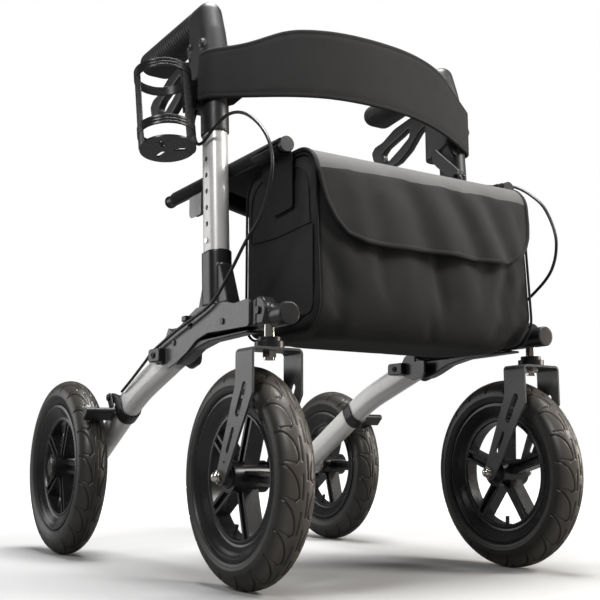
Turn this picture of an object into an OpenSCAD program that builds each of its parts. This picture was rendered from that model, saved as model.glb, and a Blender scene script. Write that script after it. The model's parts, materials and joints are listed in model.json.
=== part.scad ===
// All terrain rollator: two side frames on four wheels, joined by a folding cross frame.
// Millimetres, +Z up. The front of the rollator faces -Y and its left side, as seen
// from the front, is at -X. Heights are measured from the floor.

/* [Wheels] */
// Radius of the rim's flanges
rim_r = 114; // [95:1:136]
// Depth of the rim from its flanges to the ring that the spokes meet
rim_depth = 30; // [27:1:36]
// Height of a front tyre over its rim
front_tyre_h = 38.5; // [34:0.5:46]
// Height of a rear tyre over its rim
rear_tyre_h = 45; // [38:0.5:50]
// Width of a tyre
tyre_w = 54; // [48:1:60]
// Wall of a tyre
tyre_wall = 6; // [4:0.5:8]
// Number of spokes
spoke_count = 5; // [4:1:6]
// Width of a spoke around the wheel
spoke_w = 18; // [12:1:24]
// Depth of a spoke along the axle
spoke_d = 24; // [16:1:30]
// Radius of a hub
hub_r = 22; // [19:0.5:26]
// Length of a hub
hub_len = 56; // [50:1:62]
// Outer radius of a wheel bearing
bearing_r = 14; // [12:0.5:16]
// Width of a wheel bearing
bearing_w = 8; // [6:1:10]
// Radius of an axle
axle_r = 6; // [5:0.5:7]

/* [Casters] */
// Distance of a caster outside its side frame's middle
caster_out = 2; // [-2:0.5:6]
// Distance of the caster stems in front of the posts' reference line
caster_y = 186; // [170:1:200]
// Trail of the wheel axle behind the stem
caster_trail = 62; // [50:1:75]
// Gap between the front tyre and the fork's crown
fork_gap = 19.5; // [14:0.5:26]
// Outer width of a fork
fork_w = 80; // [74:1:88]
// Plate thickness of a fork
fork_t = 3.5; // [3:0.25:5]
// Width of a fork blade at the crown
fork_blade = 45; // [38:1:52]
// Radius of a fork blade's end round the axle
fork_end_r = 12; // [10:0.5:14]
// Height of the caster bearing's cup
cup_h = 9; // [7:0.5:12]
// Height of the caster bearing's upper collar
collar_h = 6; // [4:0.5:8]
// Radius of the caster bearing's cup
cup_r = 20.5; // [17:0.5:22]
// Radius of a caster stem
stem_r = 7.5; // [6:0.5:9]
// Bare length of stem above the bearing
stem_show = 18; // [14:0.5:22]

/* [Side frames] */
// Distance of the posts, legs and grips outside the seat rails
side_out = 29; // [28:0.5:36]
// Distance of a rear wheel's centre outside its side frame's middle
rear_wheel_out = 51.7; // [49:0.1:59]
// Rear axle behind the posts' reference line
rear_axle_y = 464.6; // [430:1:500]
// Width of an oval frame tube
tube_w = 32; // [28:1:36]
// Depth of an oval frame tube
tube_d = 48; // [42:1:54]
// Wall of a frame tube
tube_wall = 2; // [1.5:0.25:2.5]
// Thickness of a side plate
plate_t = 4; // [3:0.5:5]
// Slope of the rear leg's upper run
leg_slope = 18.9; // [15:0.1:21]
// Length of the rear leg's upper run
leg_run = 160; // [130:1:190]
// Radius of the boss that holds the rear axle
boss_r = 19; // [16:0.5:22]

/* [Posts] */
// Backward lean of the posts
lean = 3.3; // [1:0.1:5]
// Length of a post
post_len = 288; // [270:1:310]
// Spacing of the height holes
hole_pitch = 26; // [24:0.5:28]
// Number of height steps
hole_steps = 5; // [4:1:5]
// Radius of a height hole
hole_r = 4.3; // [3.5:0.1:5]
// Height of the lowest hole above the post's foot
hole_base = 101; // [95:1:110]
// Wall of the sleeve at the post's foot
sleeve_wall = 3; // [2:0.5:4]
// Height of the sleeve at the post's foot
sleeve_h = 84; // [70:1:90]

/* [Handles] */
// Length of the sliding stem below the post's top
stem_in = 218; // [205:1:230]
// Half width of a handle housing
house_r = 22; // [20:0.5:24]
// Distance between the round ends of a housing
house_run = 42; // [36:1:48]
// Height of a housing's shoulder above the post's top
house_shoulder = 110; // [100:1:120]
// Height of a housing's dome centre above the post's top
dome_z = 201; // [192:1:210]
// Length of a grip behind its housing
grip_len = 187; // [165:1:200]
// Radius of a grip's rounding
grip_r = 21; // [18:0.5:23]
// Half spread of a grip's palm rest
palm_spread = 12; // [6:1:15]
// Length of a brake lever behind its pivot
lever_len = 187; // [170:1:200]
// Thickness of a brake lever
lever_t = 13; // [10:0.5:15]

/* [Brakes] */
// Distance of the brake collar along the lower leg
brake_run = 56; // [50:1:70]
// Length of the brake collar along the leg
collar_len = 26; // [20:1:32]
// Gap between a brake pad and its tyre
pad_gap = 4.2; // [4.2:0.1:6]
// Depth of a brake arm towards the tyre
arm_depth = 24; // [18:1:28]
// Reach of a brake arm's pivot from its pad's middle
arm_reach = 34; // [30:1:40]
// Radius of a brake arm's pivot pin
arm_pin_r = 4; // [3:0.5:5]
// Diameter of a brake cable
cable_d = 5; // [4:0.5:6]

/* [Cross frame] */
// Distance of the lower hinge tubes outside the seat rails
hinge_out = 24; // [18:1:28]
// Radius of a lower hinge tube
hinge_r = 14.5; // [12:0.5:15]
// Gap between a seat rail and the bag
rail_gap = 6; // [5:0.5:14]
// Radius of a seat rail
rail_r = 10; // [9:0.5:11]
// Height of the seat rails above the hinge tubes
rail_up = 251; // [231:1:266]
// Length of a seat rail
rail_len = 383; // [350:1:400]
// Reach of the seat rails in front of the posts' reference line
rail_front = 178; // [165:1:190]
// Height of the cross frame's middle pivot above the hinge tubes
cross_up = 71; // [56:1:86]
// Radius of a cross brace
brace_r = 14; // [11:0.5:15]
// Distance of the front brace behind the posts' reference line
brace_y = 30; // [24:1:36]
// Radius of the journals and of the middle pivot
journal_r = 6; // [5:0.5:7]

/* [Seat and backrest] */
// Thickness of the seat fabric
seat_t = 3; // [2:0.5:5]
// Front of the seat in front of the posts' reference line
seat_front = 118; // [100:1:130]
// Length of the seat
seat_len = 300; // [260:1:310]
// Thickness of the backrest strap
strap_t = 6; // [4:0.5:8]
// Bow of the backrest strap in front of the posts
strap_bow = 95; // [80:1:110]
// Height of the strap's middle
strap_mid_h = 112; // [95:1:125]
// Height of the strap's ends
strap_end_h = 71; // [62:1:78]
// Height of the strap's lower edge above the posts' tops
strap_base = 52; // [45:1:58]

/* [Bag] */
// Width of the bag, which the width of the frame follows
bag_w = 404; // [330:1:490]
// Depth of the bag
bag_d = 205; // [180:1:215]
// Drop of the bag's top below the middle of the seat rails
bag_hang = 14; // [10:1:24]
// Height of the bag
bag_h = 258; // [240:1:262]
// Rear of the bag in front of the posts' reference line
bag_rear = 35; // [30:1:45]
// Wall of the bag
bag_wall = 4; // [3:0.5:6]
// Thickness of the bag's flap
flap_t = 3; // [2:0.5:4]
// Drop of the flap down the bag's front
flap_drop = 135; // [110:1:160]

/* [Cup holder] */
// Inner radius of the cup holder
cup_inner_r = 41; // [38:0.5:43]
// Wall of the cup holder
cup_wall = 4; // [3:0.5:5]
// Height of the cup holder
cup_holder_h = 134; // [120:1:145]

/* [Hidden] */
$fn = 64;
// Running clearance of pins and bearings
fit = 0.1;
// Clearance between pieces that pass each other
gap = 0.3;

// Gap by which the cup holder's panels stand back from its upper ring's bore
cup_relief = 1;

// Wheels, and the width of the frame from the bag outwards
front_r = rim_r + front_tyre_h;
rear_r = rim_r + rear_tyre_h;
rim_inner_r = rim_r - rim_depth;
rail_x = bag_w / 2 + rail_gap + rail_r;
hinge_x = rail_x + hinge_out;
side_x = rail_x + side_out;
caster_x = side_x + caster_out;
rear_wheel_x = side_x + rear_wheel_out;
// Turn of each wheel from the one with its valve at the bottom
front_turn = [20, 2];
rear_turn = [20, 20];

fork_top = 2 * front_r + fork_gap;
block_drop = 11.5;
block_bottom = fork_top + cup_h + collar_h + stem_show;
pivot_z = block_bottom + block_drop;
// Height of a caster stem's end in its block over the hinge tubes
stem_up = 14;
rail_z = pivot_z + rail_up;
cross_z = pivot_z + cross_up;
foot_h = 33;
foot_t = 17;
post_y = -29.7;
post_z = pivot_z + foot_h;
post_top_y = post_y + post_len * sin(lean);
post_top_z = post_z + post_len * cos(lean);
tube_out = side_x + tube_w / 2;
tube_in = side_x - tube_w / 2;

// Hinge tube: its ends, and the blocks that carry its journals
hinge_front = -150;
hinge_rear = 81;
block_front = -227;
journal_len = 22;
bush_len = 16;

// Rear leg: start, bend and end, in the side frame's plane
leg_start = [102, pivot_z - 27];
leg_knee = leg_start + leg_run * [cos(leg_slope), -sin(leg_slope)];
boss_drop = 12;
leg_end = [rear_axle_y, rear_r + boss_drop];
leg_fall = atan2(leg_knee[1] - leg_end[1], leg_end[0] - leg_knee[0]);
leg_low = norm(leg_end - leg_knee);
leg_lap = 3;

// Brake arm: the pad faces the wheel's centre along this direction
collar_at = leg_knee + brake_run * [cos(leg_fall), -sin(leg_fall)];
pad_dir = unit([rear_axle_y, rear_r] - collar_at);
pad_at = [rear_axle_y, rear_r] - pad_dir * (rear_r + pad_gap + arm_depth / 2);
arm_pivot = pad_at + arm_reach * [-pad_dir[1], pad_dir[0]];
arm_plate = 4.5;
arm_x = tube_out + sleeve_wall + gap + 0.2;
arm_end_x = rear_wheel_x + tyre_w / 2 - 4;

// Handles: offsets are from the top of the post
skirt_wall = 2.5;
skirt_h = 40;
skirt_lap = 16;
grip_y = 54;
pivot_up = 122;
pivot_back = house_run + 10;
pin_r = 4;
stem_gap = 0.3;
stem_tube = [tube_w - 2 * tube_wall - 2 * stem_gap, tube_d - 2 * tube_wall - 2 * stem_gap];
button_out = 2.5;

// Backrest: an arc that runs tangent into the wrap round each housing
strap_clear = 2;
wrap_r = house_r + strap_clear + strap_t / 2;
strap_r = (side_x * side_x + strap_bow * strap_bow - wrap_r * wrap_r) / (2 * (strap_bow - wrap_r));
strap_c = post_top_y - strap_bow + strap_r;
strap_turn = atan2(side_x, strap_c - post_top_y);
strap_z = post_top_z + strap_base;

// Cross frame
brace_step = 2 * brace_r + 6;
brace_knee = [rail_x - 78, rail_z - 46];
brace_end = [rail_x - 4, rail_z - 30];
gusset_y = [14, 110];
gusset_h = 40;

// Cup holder: on the outer side of the left housing
cup_ring_r = cup_inner_r + cup_wall;
cup_bracket = 6;
cup_x = side_x + house_r + cup_bracket + cup_ring_r;
cup_y = post_top_y + 27;
cup_z = post_top_z - 48;
cup_ring_h = 14;
cup_lean = 11;
cup_mid = cup_holder_h / 2;

// Bag profile in the side view, from rear bottom round to rear top
bag_front = -bag_rear - bag_d;
bag_top = rail_z - bag_hang;
bag_bottom = bag_top - bag_h;
bag_lean = 14;
bag_round = 2 * bag_h / 13;
hanger_y = [-172, -134];
hanger_t = 2.5;
hanger_drop = 105;
flap_rear = -seat_front - 8;

// The origin is under the middle of the whole rollator
axle_end = rear_wheel_x + hub_len / 2 + 4;
centre_x = (cup_x + cup_ring_r - axle_end) / 2;
centre_y = (caster_y - caster_trail + front_r - rear_axle_y - rear_r) / 2;

// Brake cables, from housing to brake: distance outside the side frame's middle, then back, then
// up from the post's top for the first run and from the hinge tube for the others
cable_low = [
    [25, -60, 33], [27, 7, 14], [27, 60, 2], [26, 143, -21], [24, 175, -34], [23, 235, -61], [20, 284, -79],
];
cable_left_top = [
    [15, 22, 34], [21, 20, 8], [23, 4, -26], [23, -18, -32], [21, -45, -20], [17, -85, -7], [15, -130, -17],
];
cable_left_mid = [
    [15, -176, 273], [15, -205, 238], [16, -215, 203], [17, -205, 166], [19, -186, 134], [21, -152, 108],
    [23, -108, 68],
];
cable_right_top = [
    [15, 22, 34], [21, 14, 8], [23, -10, -8], [23, -32, -18], [20, -80, -34], [17, -128, -48],
];
cable_right_mid = [
    [15, -154, 266], [15, -188, 244], [15, -219, 212], [16, -238, 159], [18, -224, 111], [20, -180, 77],
    [23, -122, 51],
];
cable_left = concat(raised(cable_left_top, post_top_z),
    raised(concat(cable_left_mid, cable_low), pivot_z));
cable_right = concat(raised(cable_right_top, post_top_z),
    raised(concat(cable_right_mid, cable_low), pivot_z));

// Functions for outlines and routes
function unit(v) = v / norm(v);
function raised(points, z) = [for (p = points) [side_x + p[0], p[1], z + p[2]]];
function arc_step(a, b) = (b - a + 900) % 360 - 180;
function corner(a, b, c, r, n) =
    let (
        u = unit(a - b),
        v = unit(c - b),
        half = acos(max(-1, min(1, u * v))) / 2,
        middle = b + unit(u + v) * r / sin(half),
        p = b + u * r / tan(half) - middle,
        q = b + v * r / tan(half) - middle,
        from = atan2(p[1], p[0]),
        turn = arc_step(from, atan2(q[1], q[0]))
    )
    [for (i = [0:n]) middle + r * [cos(from + turn * i / n), sin(from + turn * i / n)]];
function rounded(points, radii, n = 6) =
    let (count = len(points))
    [
        for (i = [0:count - 1])
            each corner(points[(i + count - 1) % count], points[i], points[(i + 1) % count], radii[i], n)
    ];
function same(r, points) = [for (p = points) r];
function smooth(p, i, t) =
    let (
        last = len(p) - 1,
        a = p[max(0, i - 1)],
        b = p[i],
        c = p[min(last, i + 1)],
        d = p[min(last, i + 2)]
    )
    0.5 * (2 * b + (c - a) * t + (2 * a - 5 * b + 4 * c - d) * t * t + (3 * b - a - 3 * c + d) * t * t * t);
function smooth_route(p, steps) =
    concat([for (i = [0:len(p) - 2], s = [0:steps - 1]) smooth(p, i, s / steps)], [p[len(p) - 1]]);
function tangent(p, i) = unit(p[min(len(p) - 1, i + 1)] - p[max(0, i - 1)]);
function carried(u, t) = unit(u - (u * t) * t);
function normals(p, i = 0, u = [1, 0, 0]) =
    i == len(p) ? [] : let (n = carried(u, tangent(p, i))) concat([n], normals(p, i + 1, n));

// Places
module in_frame() {
    translate([centre_x, centre_y, 0]) children();
}
module side(s) {
    if (s > 0) children();
    else mirror([1, 0, 0]) children();
}
module at_post(s) {
    side(s) translate([side_x, post_y, post_z]) rotate([-lean, 0, 0]) children();
}
module at_handle(s) {
    side(s) translate([side_x, post_top_y, post_top_z]) children();
}
module at_lower_leg(s) {
    side(s) translate([side_x, leg_knee[0], leg_knee[1]]) rotate([-90 - leg_fall, 0, 0]) children();
}
module at_caster(s) {
    side(s) translate([caster_x, -caster_y, 0]) children();
}
module at_front_wheel(s) {
    side(s) translate([caster_x, caster_trail - caster_y, front_r]) children();
}
module at_rear_wheel(s) {
    side(s) translate([rear_wheel_x, rear_axle_y, rear_r]) children();
}
// Extrudes an outline of [y, z] points along X, from x to x + t
module side_slab(x, t) {
    translate([x, 0, 0]) rotate([90, 0, 90]) linear_extrude(t) children();
}
module along_x(x, len, r) {
    translate([x, 0, 0]) rotate([0, 90, 0]) cylinder(h = len, r = r);
}
module along_y(y, len, r) {
    translate([0, y, 0]) rotate([-90, 0, 0]) cylinder(h = len, r = r);
}

// Sections
module oval(w, d) {
    for (s = [-1, 1]) translate([0, s * (d - w) / 2]) circle(d = w);
    square([w, d - w], center = true);
}
module oval_tube(w, d, wall) {
    difference() {
        oval(w, d);
        oval(w - 2 * wall, d - 2 * wall);
    }
}
module leg_oval(w, d) {
    turns = 12;
    polygon([
        for (s = [-1, 1], i = [0:turns])
            let (a = 180 * i / turns - 90 + 90 * s)
            [w / 2 * cos(a), s * (d - w) / 2 + w / 2 * sin(a)]
    ]);
}
module slot2d(a, b, r) {
    translate(a) circle(r);
    translate(b) circle(r);
    w = r * unit([a[1] - b[1], b[0] - a[0]]);
    polygon([a + w, b + w, b - w, a - w]);
}
module arch_top(w, h, r) {
    translate([-w / 2, 0]) square([w, h - r]);
    translate([r - w / 2, 0]) square([w - 2 * r, h]);
    for (s = [-1, 1]) translate([s * (w / 2 - r), h - r]) circle(r);
}

// Wheels: the axle runs along X through the origin
module tyre(r) {
    half = tyre_w / 2;
    neck = 17;
    color([0.09, 0.09, 0.09]) rotate([0, 90, 0]) rotate_extrude() difference() {
        union() {
            intersection() {
                translate([r - half, 0]) circle(half);
                translate([rim_r + gap, -half]) square([r - rim_r, tyre_w]);
            }
            polygon([
                [rim_r - 11, 3.5 - neck], [rim_r + gap, -neck], [rim_r + 4, -neck],
                [rim_r + 4, neck], [rim_r + gap, neck], [rim_r - 11, neck - 3.5],
            ]);
        }
        translate([r - half + 2, 0]) circle(half - tyre_wall - 2);
        translate([rim_r - 20, -6]) square([30, 12]);
    }
}
// The rim is dished on both sides; at no turn its valve points down
module rim(turn) {
    lip = 22;
    bed = [
        [rim_r, -lip], [rim_r, 4 - lip], [rim_r - 13, 8 - lip], [rim_r - 21, -8],
        [rim_r - 21, 8], [rim_r - 13, lip - 8], [rim_r, lip - 4], [rim_r, lip],
    ];
    dish = [
        [rim_r - 5, lip + 1], [rim_r - 9, lip - 2], [rim_r - 13, lip - 4.5], [rim_r - 20, 12],
        [rim_inner_r + 7, 11], [rim_inner_r + 4, 12.5], [rim_inner_r + 1.5, 12.5], [rim_inner_r, 10],
    ];
    back = [for (i = [len(dish) - 1:-1:0]) [dish[i][0], -dish[i][1]]];
    color([0.13, 0.13, 0.13]) rotate([turn, 0, 0]) difference() {
        union() {
            rotate([0, 90, 0]) rotate_extrude() polygon(concat(bed, dish, back));
            along_x(-hub_len / 2, hub_len, hub_r);
            for (i = [0:spoke_count - 1]) rotate([i * 360 / spoke_count, 0, 0]) spoke();
            translate([0, 0, -rim_inner_r - 4]) cylinder(h = 17, r = 3.2);
        }
        along_x(-hub_len, 2 * hub_len, axle_r + 3);
        for (s = [-1, 1]) side(s) along_x(hub_len / 2 - bearing_w, hub_len, bearing_r + fit);
    }
}
module spoke() {
    groove = spoke_d / 4;
    translate([0, 0, hub_r - 3]) linear_extrude(rim_inner_r + 3 - hub_r + 3) difference() {
        square([spoke_d, spoke_w], center = true);
        for (s = [-1, 1]) translate([s * spoke_d / 2, 0]) square([2 * groove, spoke_w / 2], center = true);
    }
}
// Axle with its two bearings, distance tubes and nuts; it ends at the distances given
module axle(from, to, face_in, face_out) {
    inner = hub_len / 2 - bearing_w;
    color([0.75, 0.75, 0.77]) {
        along_x(from, to - from, axle_r);
        for (s = [-1, 1]) side(s) difference() {
            along_x(inner + gap, bearing_w - gap, bearing_r);
            along_x(0, hub_len, axle_r);
        }
        difference() {
            along_x(-inner - gap, 2 * inner + 2 * gap, axle_r + 2);
            along_x(-hub_len, 2 * hub_len, axle_r);
        }
        for (s = [[-1, face_in], [1, face_out]]) side(s[0]) difference() {
            along_x(hub_len / 2, s[1] - hub_len / 2, axle_r + 2.5);
            along_x(0, 2 * hub_len, axle_r);
        }
    }
}
module axle_nut(x) {
    color([0.8, 0.8, 0.82]) translate([x, 0, 0]) rotate([0, 90, 0]) difference() {
        cylinder(h = 5.5, r = 9.5, $fn = 6);
        cylinder(h = 20, r = axle_r, center = true);
    }
}
module front_axle(s) {
    inside = fork_w / 2 - fork_t;
    at_front_wheel(s) {
        axle(-fork_w / 2 - 7, fork_w / 2 + 7, inside, inside);
        for (t = [-1, 1]) side(t) axle_nut(fork_w / 2);
    }
}
module rear_axle(s) {
    inside = rear_wheel_x - tube_out - 2;
    at_rear_wheel(s) {
        axle(tube_in - rear_wheel_x - 6, hub_len / 2 + 4, inside, hub_len / 2 + 0.5);
        side(-1) axle_nut(rear_wheel_x - tube_in);
        color([0.13, 0.13, 0.13]) difference() {
            along_x(hub_len / 2 + 0.5, 3.5, bearing_r - 2);
            along_x(0, 2 * hub_len, axle_r);
        }
    }
}

// Caster fork: one bent plate with two blades, and the bearing above its crown
module fork(s) {
    crown = fork_top - front_r;
    bend = 8;
    half = fork_blade / 2;
    front = -caster_trail - half;
    rear = -caster_trail + half;
    knee_front = crown - 62;
    knee_rear = crown - 48;
    along = unit([caster_trail, -crown + 55]);
    across = fork_end_r * [-along[1], along[0]];
    at_slot = [-caster_trail, crown - 55];
    run = norm(at_slot);
    color([0.14, 0.14, 0.14]) at_front_wheel(s) difference() {
        intersection() {
            rotate([90, 0, 0]) translate([0, -fork_end_r, -200]) linear_extrude(400) difference() {
                arch_top(fork_w, crown + fork_end_r, bend);
                translate([0, -1]) arch_top(fork_w - 2 * fork_t, crown + fork_end_r - fork_t + 1,
                    bend - fork_t);
            }
            union() {
                side_slab(-fork_w, 2 * fork_w) polygon([
                    [front, crown + 1], [front, knee_front], -across, across, [rear, knee_rear], [rear,
                        crown + 1],
                ]);
                along_x(-fork_w, 2 * fork_w, fork_end_r);
            }
        }
        side_slab(-fork_w, 2 * fork_w) {
            slot2d(at_slot - along * run * 0.03, at_slot + along * run * 0.27, 5.5);
            slot2d(at_slot + along * run * 0.46, at_slot + along * run * 0.7, 3.5);
            translate(at_slot + along * run * 0.83) circle(2);
        }
        along_x(-fork_w, 2 * fork_w, axle_r + 0.05);
        translate([0, -caster_trail, crown - 30]) cylinder(h = 60, r = stem_r + fit);
    }
}
module caster_bearing(s) {
    color([0.16, 0.16, 0.15]) at_caster(s) translate([0, 0, fork_top]) difference() {
        union() {
            cylinder(h = cup_h, r = cup_r);
            cylinder(h = cup_h + collar_h, r = cup_r - 4.5);
        }
        cylinder(h = 80, r = stem_r + fit, center = true);
    }
}
module caster_stem(s) {
    nut_h = 8;
    color([0.8, 0.78, 0.7]) at_caster(s) {
        translate([0, 0, fork_top - fork_t - gap - nut_h - 4])
            cylinder(h = pivot_z + stem_up - fork_top + fork_t + gap + nut_h + 4, r = stem_r);
        translate([0, 0, fork_top - fork_t - gap - nut_h]) difference() {
            cylinder(h = nut_h, r = stem_r + 3, $fn = 6);
            cylinder(h = 3 * nut_h, r = stem_r, center = true);
        }
    }
}

// Side frame
module front_block(s) {
    face = hinge_front - gap - 1.2;
    color([0.12, 0.12, 0.12]) side(s) difference() {
        union() {
            translate([hinge_x, 0, pivot_z]) along_y(block_front, face - block_front, hinge_r + 1.5);
            translate([0, -caster_y + 9, pivot_z + 8]) along_x(hinge_x, tube_out - hinge_x - 1, 19.5);
            translate([caster_x, -caster_y, block_bottom]) cylinder(h = block_drop, r = 13);
            translate([hinge_x, face - 20, pivot_z - 12]) cube([tube_out - hinge_x, 20, 36]);
        }
        translate([caster_x, -caster_y, 0]) cylinder(h = pivot_z + stem_up, r = stem_r + 0.05);
        translate([hinge_x, 0, pivot_z]) along_y(face - journal_len - 1, journal_len + 2, journal_r + fit);
    }
}
function plate_rear(y, z) = [
    [y - 33, z + 5], [y - 19, z + 13], [y - 9, z - 1], [y + 7, z - 7], [y + 18, z - 22], [y + 15, z - 41],
        [y - 17, z - 52],
    [y - 48, z - 45],
];
plate_rear_r = [3, 3, 6, 6, 12, 10, 14, 60];
module outer_plate(s) {
    z = pivot_z;
    top = [[-160, z + 27], [-118, z + 25], [-88, z + 31], [0, z + 33], [26, z + 24], [52, z + 13]];
    low = [[30, z - 31], [0, z - 16], [-36, z - 9], [-160, z - 12]];
    color([0.3, 0.3, 0.3]) side(s) difference() {
        side_slab(tube_out, plate_t) polygon(rounded(
            concat(top, plate_rear(117, z), low),
            concat([6, 30, 40, 14, 30, 30], plate_rear_r, [40, 40, 40, 6])
        ));
        plate_screws() along_x(0, 2 * side_x, 2.5);
    }
}
module inner_plate(s) {
    z = pivot_z;
    tip = hinge_rear + 2.5;
    color([0.3, 0.3, 0.3]) side(s) side_slab(tube_in - plate_t, plate_t) polygon(rounded(
        concat([[56, z - hinge_r - 3], [tip, z - hinge_r - 3], [tip, z + 4]], [for (i = [1:7])
            plate_rear(106, z)[i]]),
        concat([3, 0.5, 1], [for (i = [1:6]) plate_rear_r[i]], [10])
    ));
}
module rear_bush(s) {
    color([0.12, 0.12, 0.12]) side(s) difference() {
        translate([tube_in, hinge_rear + gap, pivot_z - 13]) cube([tube_w, bush_len, 24]);
        translate([hinge_x, 0, pivot_z]) along_y(0, 2 * hinge_rear, journal_r + fit);
    }
}
module side_plates(s) {
    outer_plate(s);
    inner_plate(s);
    rear_bush(s);
}
// Places of the screws that hold the outer plate, as [y, height over the hinge]
plate_screw_places = [[-84, 3], [20, 8], [76, -13], [118, -30]];
module plate_screws() {
    for (p = plate_screw_places) translate([0, p[0], pivot_z + p[1]]) children();
}
module frame_screws(s) {
    color([0.1, 0.1, 0.1]) side(s) {
        plate_screws() {
            along_x(tube_out + plate_t, 2.2, 4.8);
            along_x(tube_out, plate_t + 1, 2.45);
        }
        translate([0, -caster_y + 9, pivot_z + 8]) along_x(tube_out - 1, 3, 5.5);
    }
}
module post_sleeve(s) {
    w = tube_w + 2 * sleeve_wall;
    color([0.12, 0.12, 0.12]) difference() {
        union() {
            at_post(s) translate([0, 0, -3]) linear_extrude(sleeve_h + 3) oval(w, tube_d + 2 * sleeve_wall);
            side(s) translate([tube_in, post_y - 50, post_z - foot_t]) cube([tube_w, 94, foot_t]);
            side(s) side_slab(side_x - 11, 22) polygon([
                [post_y - 54, post_z - 4], [post_y - 26, post_z + 62], [post_y + 26, post_z + 44],
                    [post_y + 43, post_z - 4],
            ]);
        }
        at_post(s) linear_extrude(2 * sleeve_h) oval(tube_w + fit, tube_d + fit);
        side(s) translate([tube_out, post_y - 60, post_z - foot_t]) cube([12, 130, foot_t + gap]);
    }
}
module post(s) {
    color([0.8, 0.79, 0.76]) at_post(s) difference() {
        linear_extrude(post_len) oval_tube(tube_w, tube_d, tube_wall);
        for (i = [0:hole_steps]) translate([0, 0, hole_base + i * hole_pitch]) along_x(0, tube_w, hole_r);
    }
}
module rear_leg(s) {
    hollow = [tube_w - 2 * tube_wall, tube_d - 2 * tube_wall];
    color([0.78, 0.77, 0.75]) difference() {
        union() {
            leg_upper(s, 0, leg_run + leg_lap) leg_oval(tube_w, tube_d);
            leg_lower(s, -leg_lap, leg_low - 4) leg_oval(tube_w, tube_d);
            at_rear_wheel(s) along_x(tube_in - rear_wheel_x, tube_w, boss_r);
        }
        leg_upper(s, -1, leg_run + leg_lap) leg_oval(hollow[0], hollow[1]);
        leg_lower(s, -leg_lap, leg_low - boss_r - 6) leg_oval(hollow[0], hollow[1]);
        at_rear_wheel(s) along_x(-rear_wheel_x, 2 * rear_wheel_x, axle_r + 0.05);
    }
}
module leg_upper(s, from, to) {
    side(s) translate([side_x, leg_start[0], leg_start[1]]) rotate([-90 - leg_slope, 0, 0])
        translate([0, 0, from]) linear_extrude(to - from) children();
}
module leg_lower(s, from, to) {
    at_lower_leg(s) translate([0, 0, from]) linear_extrude(to - from) children();
}
// Black liner under the plates, the cable clip and the stop on top of the plate
module frame_trim(s) {
    z = pivot_z - hinge_r;
    color([0.07, 0.07, 0.07]) side(s) {
        side_slab(tube_in + 12, tube_w - 12) polygon(rounded(
            [[-148, z - 1], [70, z - 2], [101, z - 8], [95, z - 30], [70, z - 34], [48, z - 28], [10,
                z - 14], [-35, z - 7],
             [-148, z - 5]],
            [1, 3, 3, 6, 16, 30, 40, 40, 1]
        ));
        difference() {
            translate([tube_out + plate_t, 108, pivot_z - 44]) cube([6, 24, 14]);
            plate_screws() along_x(tube_out, 2 * plate_t + 8, 5);
        }
        translate([tube_out + plate_t, 22, pivot_z + 15]) cube([7, 16, 9]);
    }
}

// Brakes
module brake_collar(s) {
    w = tube_w + 2 * sleeve_wall;
    lug = tube_out + sleeve_wall - 8;
    color([0.1, 0.1, 0.1]) {
        difference() {
            union() {
                at_lower_leg(s) translate([0, 0, brake_run - collar_len / 2])
                    linear_extrude(collar_len) oval(w, tube_d + 2 * sleeve_wall);
                side(s) side_slab(lug, 8) slot2d(collar_at + 16 * [sin(leg_fall), cos(leg_fall)],
                    arm_pivot, 8);
            }
            at_lower_leg(s) linear_extrude(leg_low) oval(tube_w + fit, tube_d + fit);
        }
        side(s) translate([0, arm_pivot[0], arm_pivot[1]]) {
            along_x(lug + 8, arm_plate + 3, arm_pin_r);
            along_x(arm_x + arm_plate + gap, 2.5, arm_pin_r + 2.5);
        }
    }
}
module brake_arm(s) {
    tip = arm_depth / 2 * pad_dir;
    across = [-pad_dir[1], pad_dir[0]];
    color([0.09, 0.09, 0.09]) side(s) difference() {
        union() {
            side_slab(arm_x, arm_plate) {
                slot2d(pad_at, arm_pivot, 8);
                polygon([pad_at - tip + 9 * across, pad_at + tip + 9 * across, pad_at + tip - 9 * across,
                         pad_at - tip - 9 * across]);
            }
            side_slab(arm_x, arm_end_x - arm_x) polygon(rounded(
                [pad_at - tip + 5 * across, pad_at + tip + 9 * across, pad_at + tip - 9 * across,
                    pad_at - tip - 5 * across],
                [4, 2, 2, 4]
            ));
        }
        translate([0, arm_pivot[0], arm_pivot[1]]) along_x(0, 2 * side_x, arm_pin_r + fit);
    }
}
module brake_cable(s) {
    points = smooth_route(s > 0 ? cable_right : cable_left, 3);
    across = normals(points);
    sides = 8;
    rings = len(points);
    spots = [
        for (i = [0:rings - 1], k = [0:sides - 1])
            let (
                t = tangent(points, i),
                u = across[i],
                v = cross(t, u)
            )
            points[i] + cable_d / 2 * (cos(k * 360 / sides) * u + sin(k * 360 / sides) * v)
    ];
    faces = concat(
        [[for (k = [0:sides - 1]) k]],
        [
            for (i = [0:rings - 2], k = [0:sides - 1])
                let (n = (k + 1) % sides)
                each [
                    [i * sides + k, (i + 1) * sides + k, (i + 1) * sides + n],
                    [i * sides + k, (i + 1) * sides + n, i * sides + n],
                ]
        ],
        [[for (k = [sides - 1:-1:0]) (rings - 1) * sides + k]]
    );
    color([0.08, 0.08, 0.08]) side(s) polyhedron(spots, faces);
}

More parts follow.
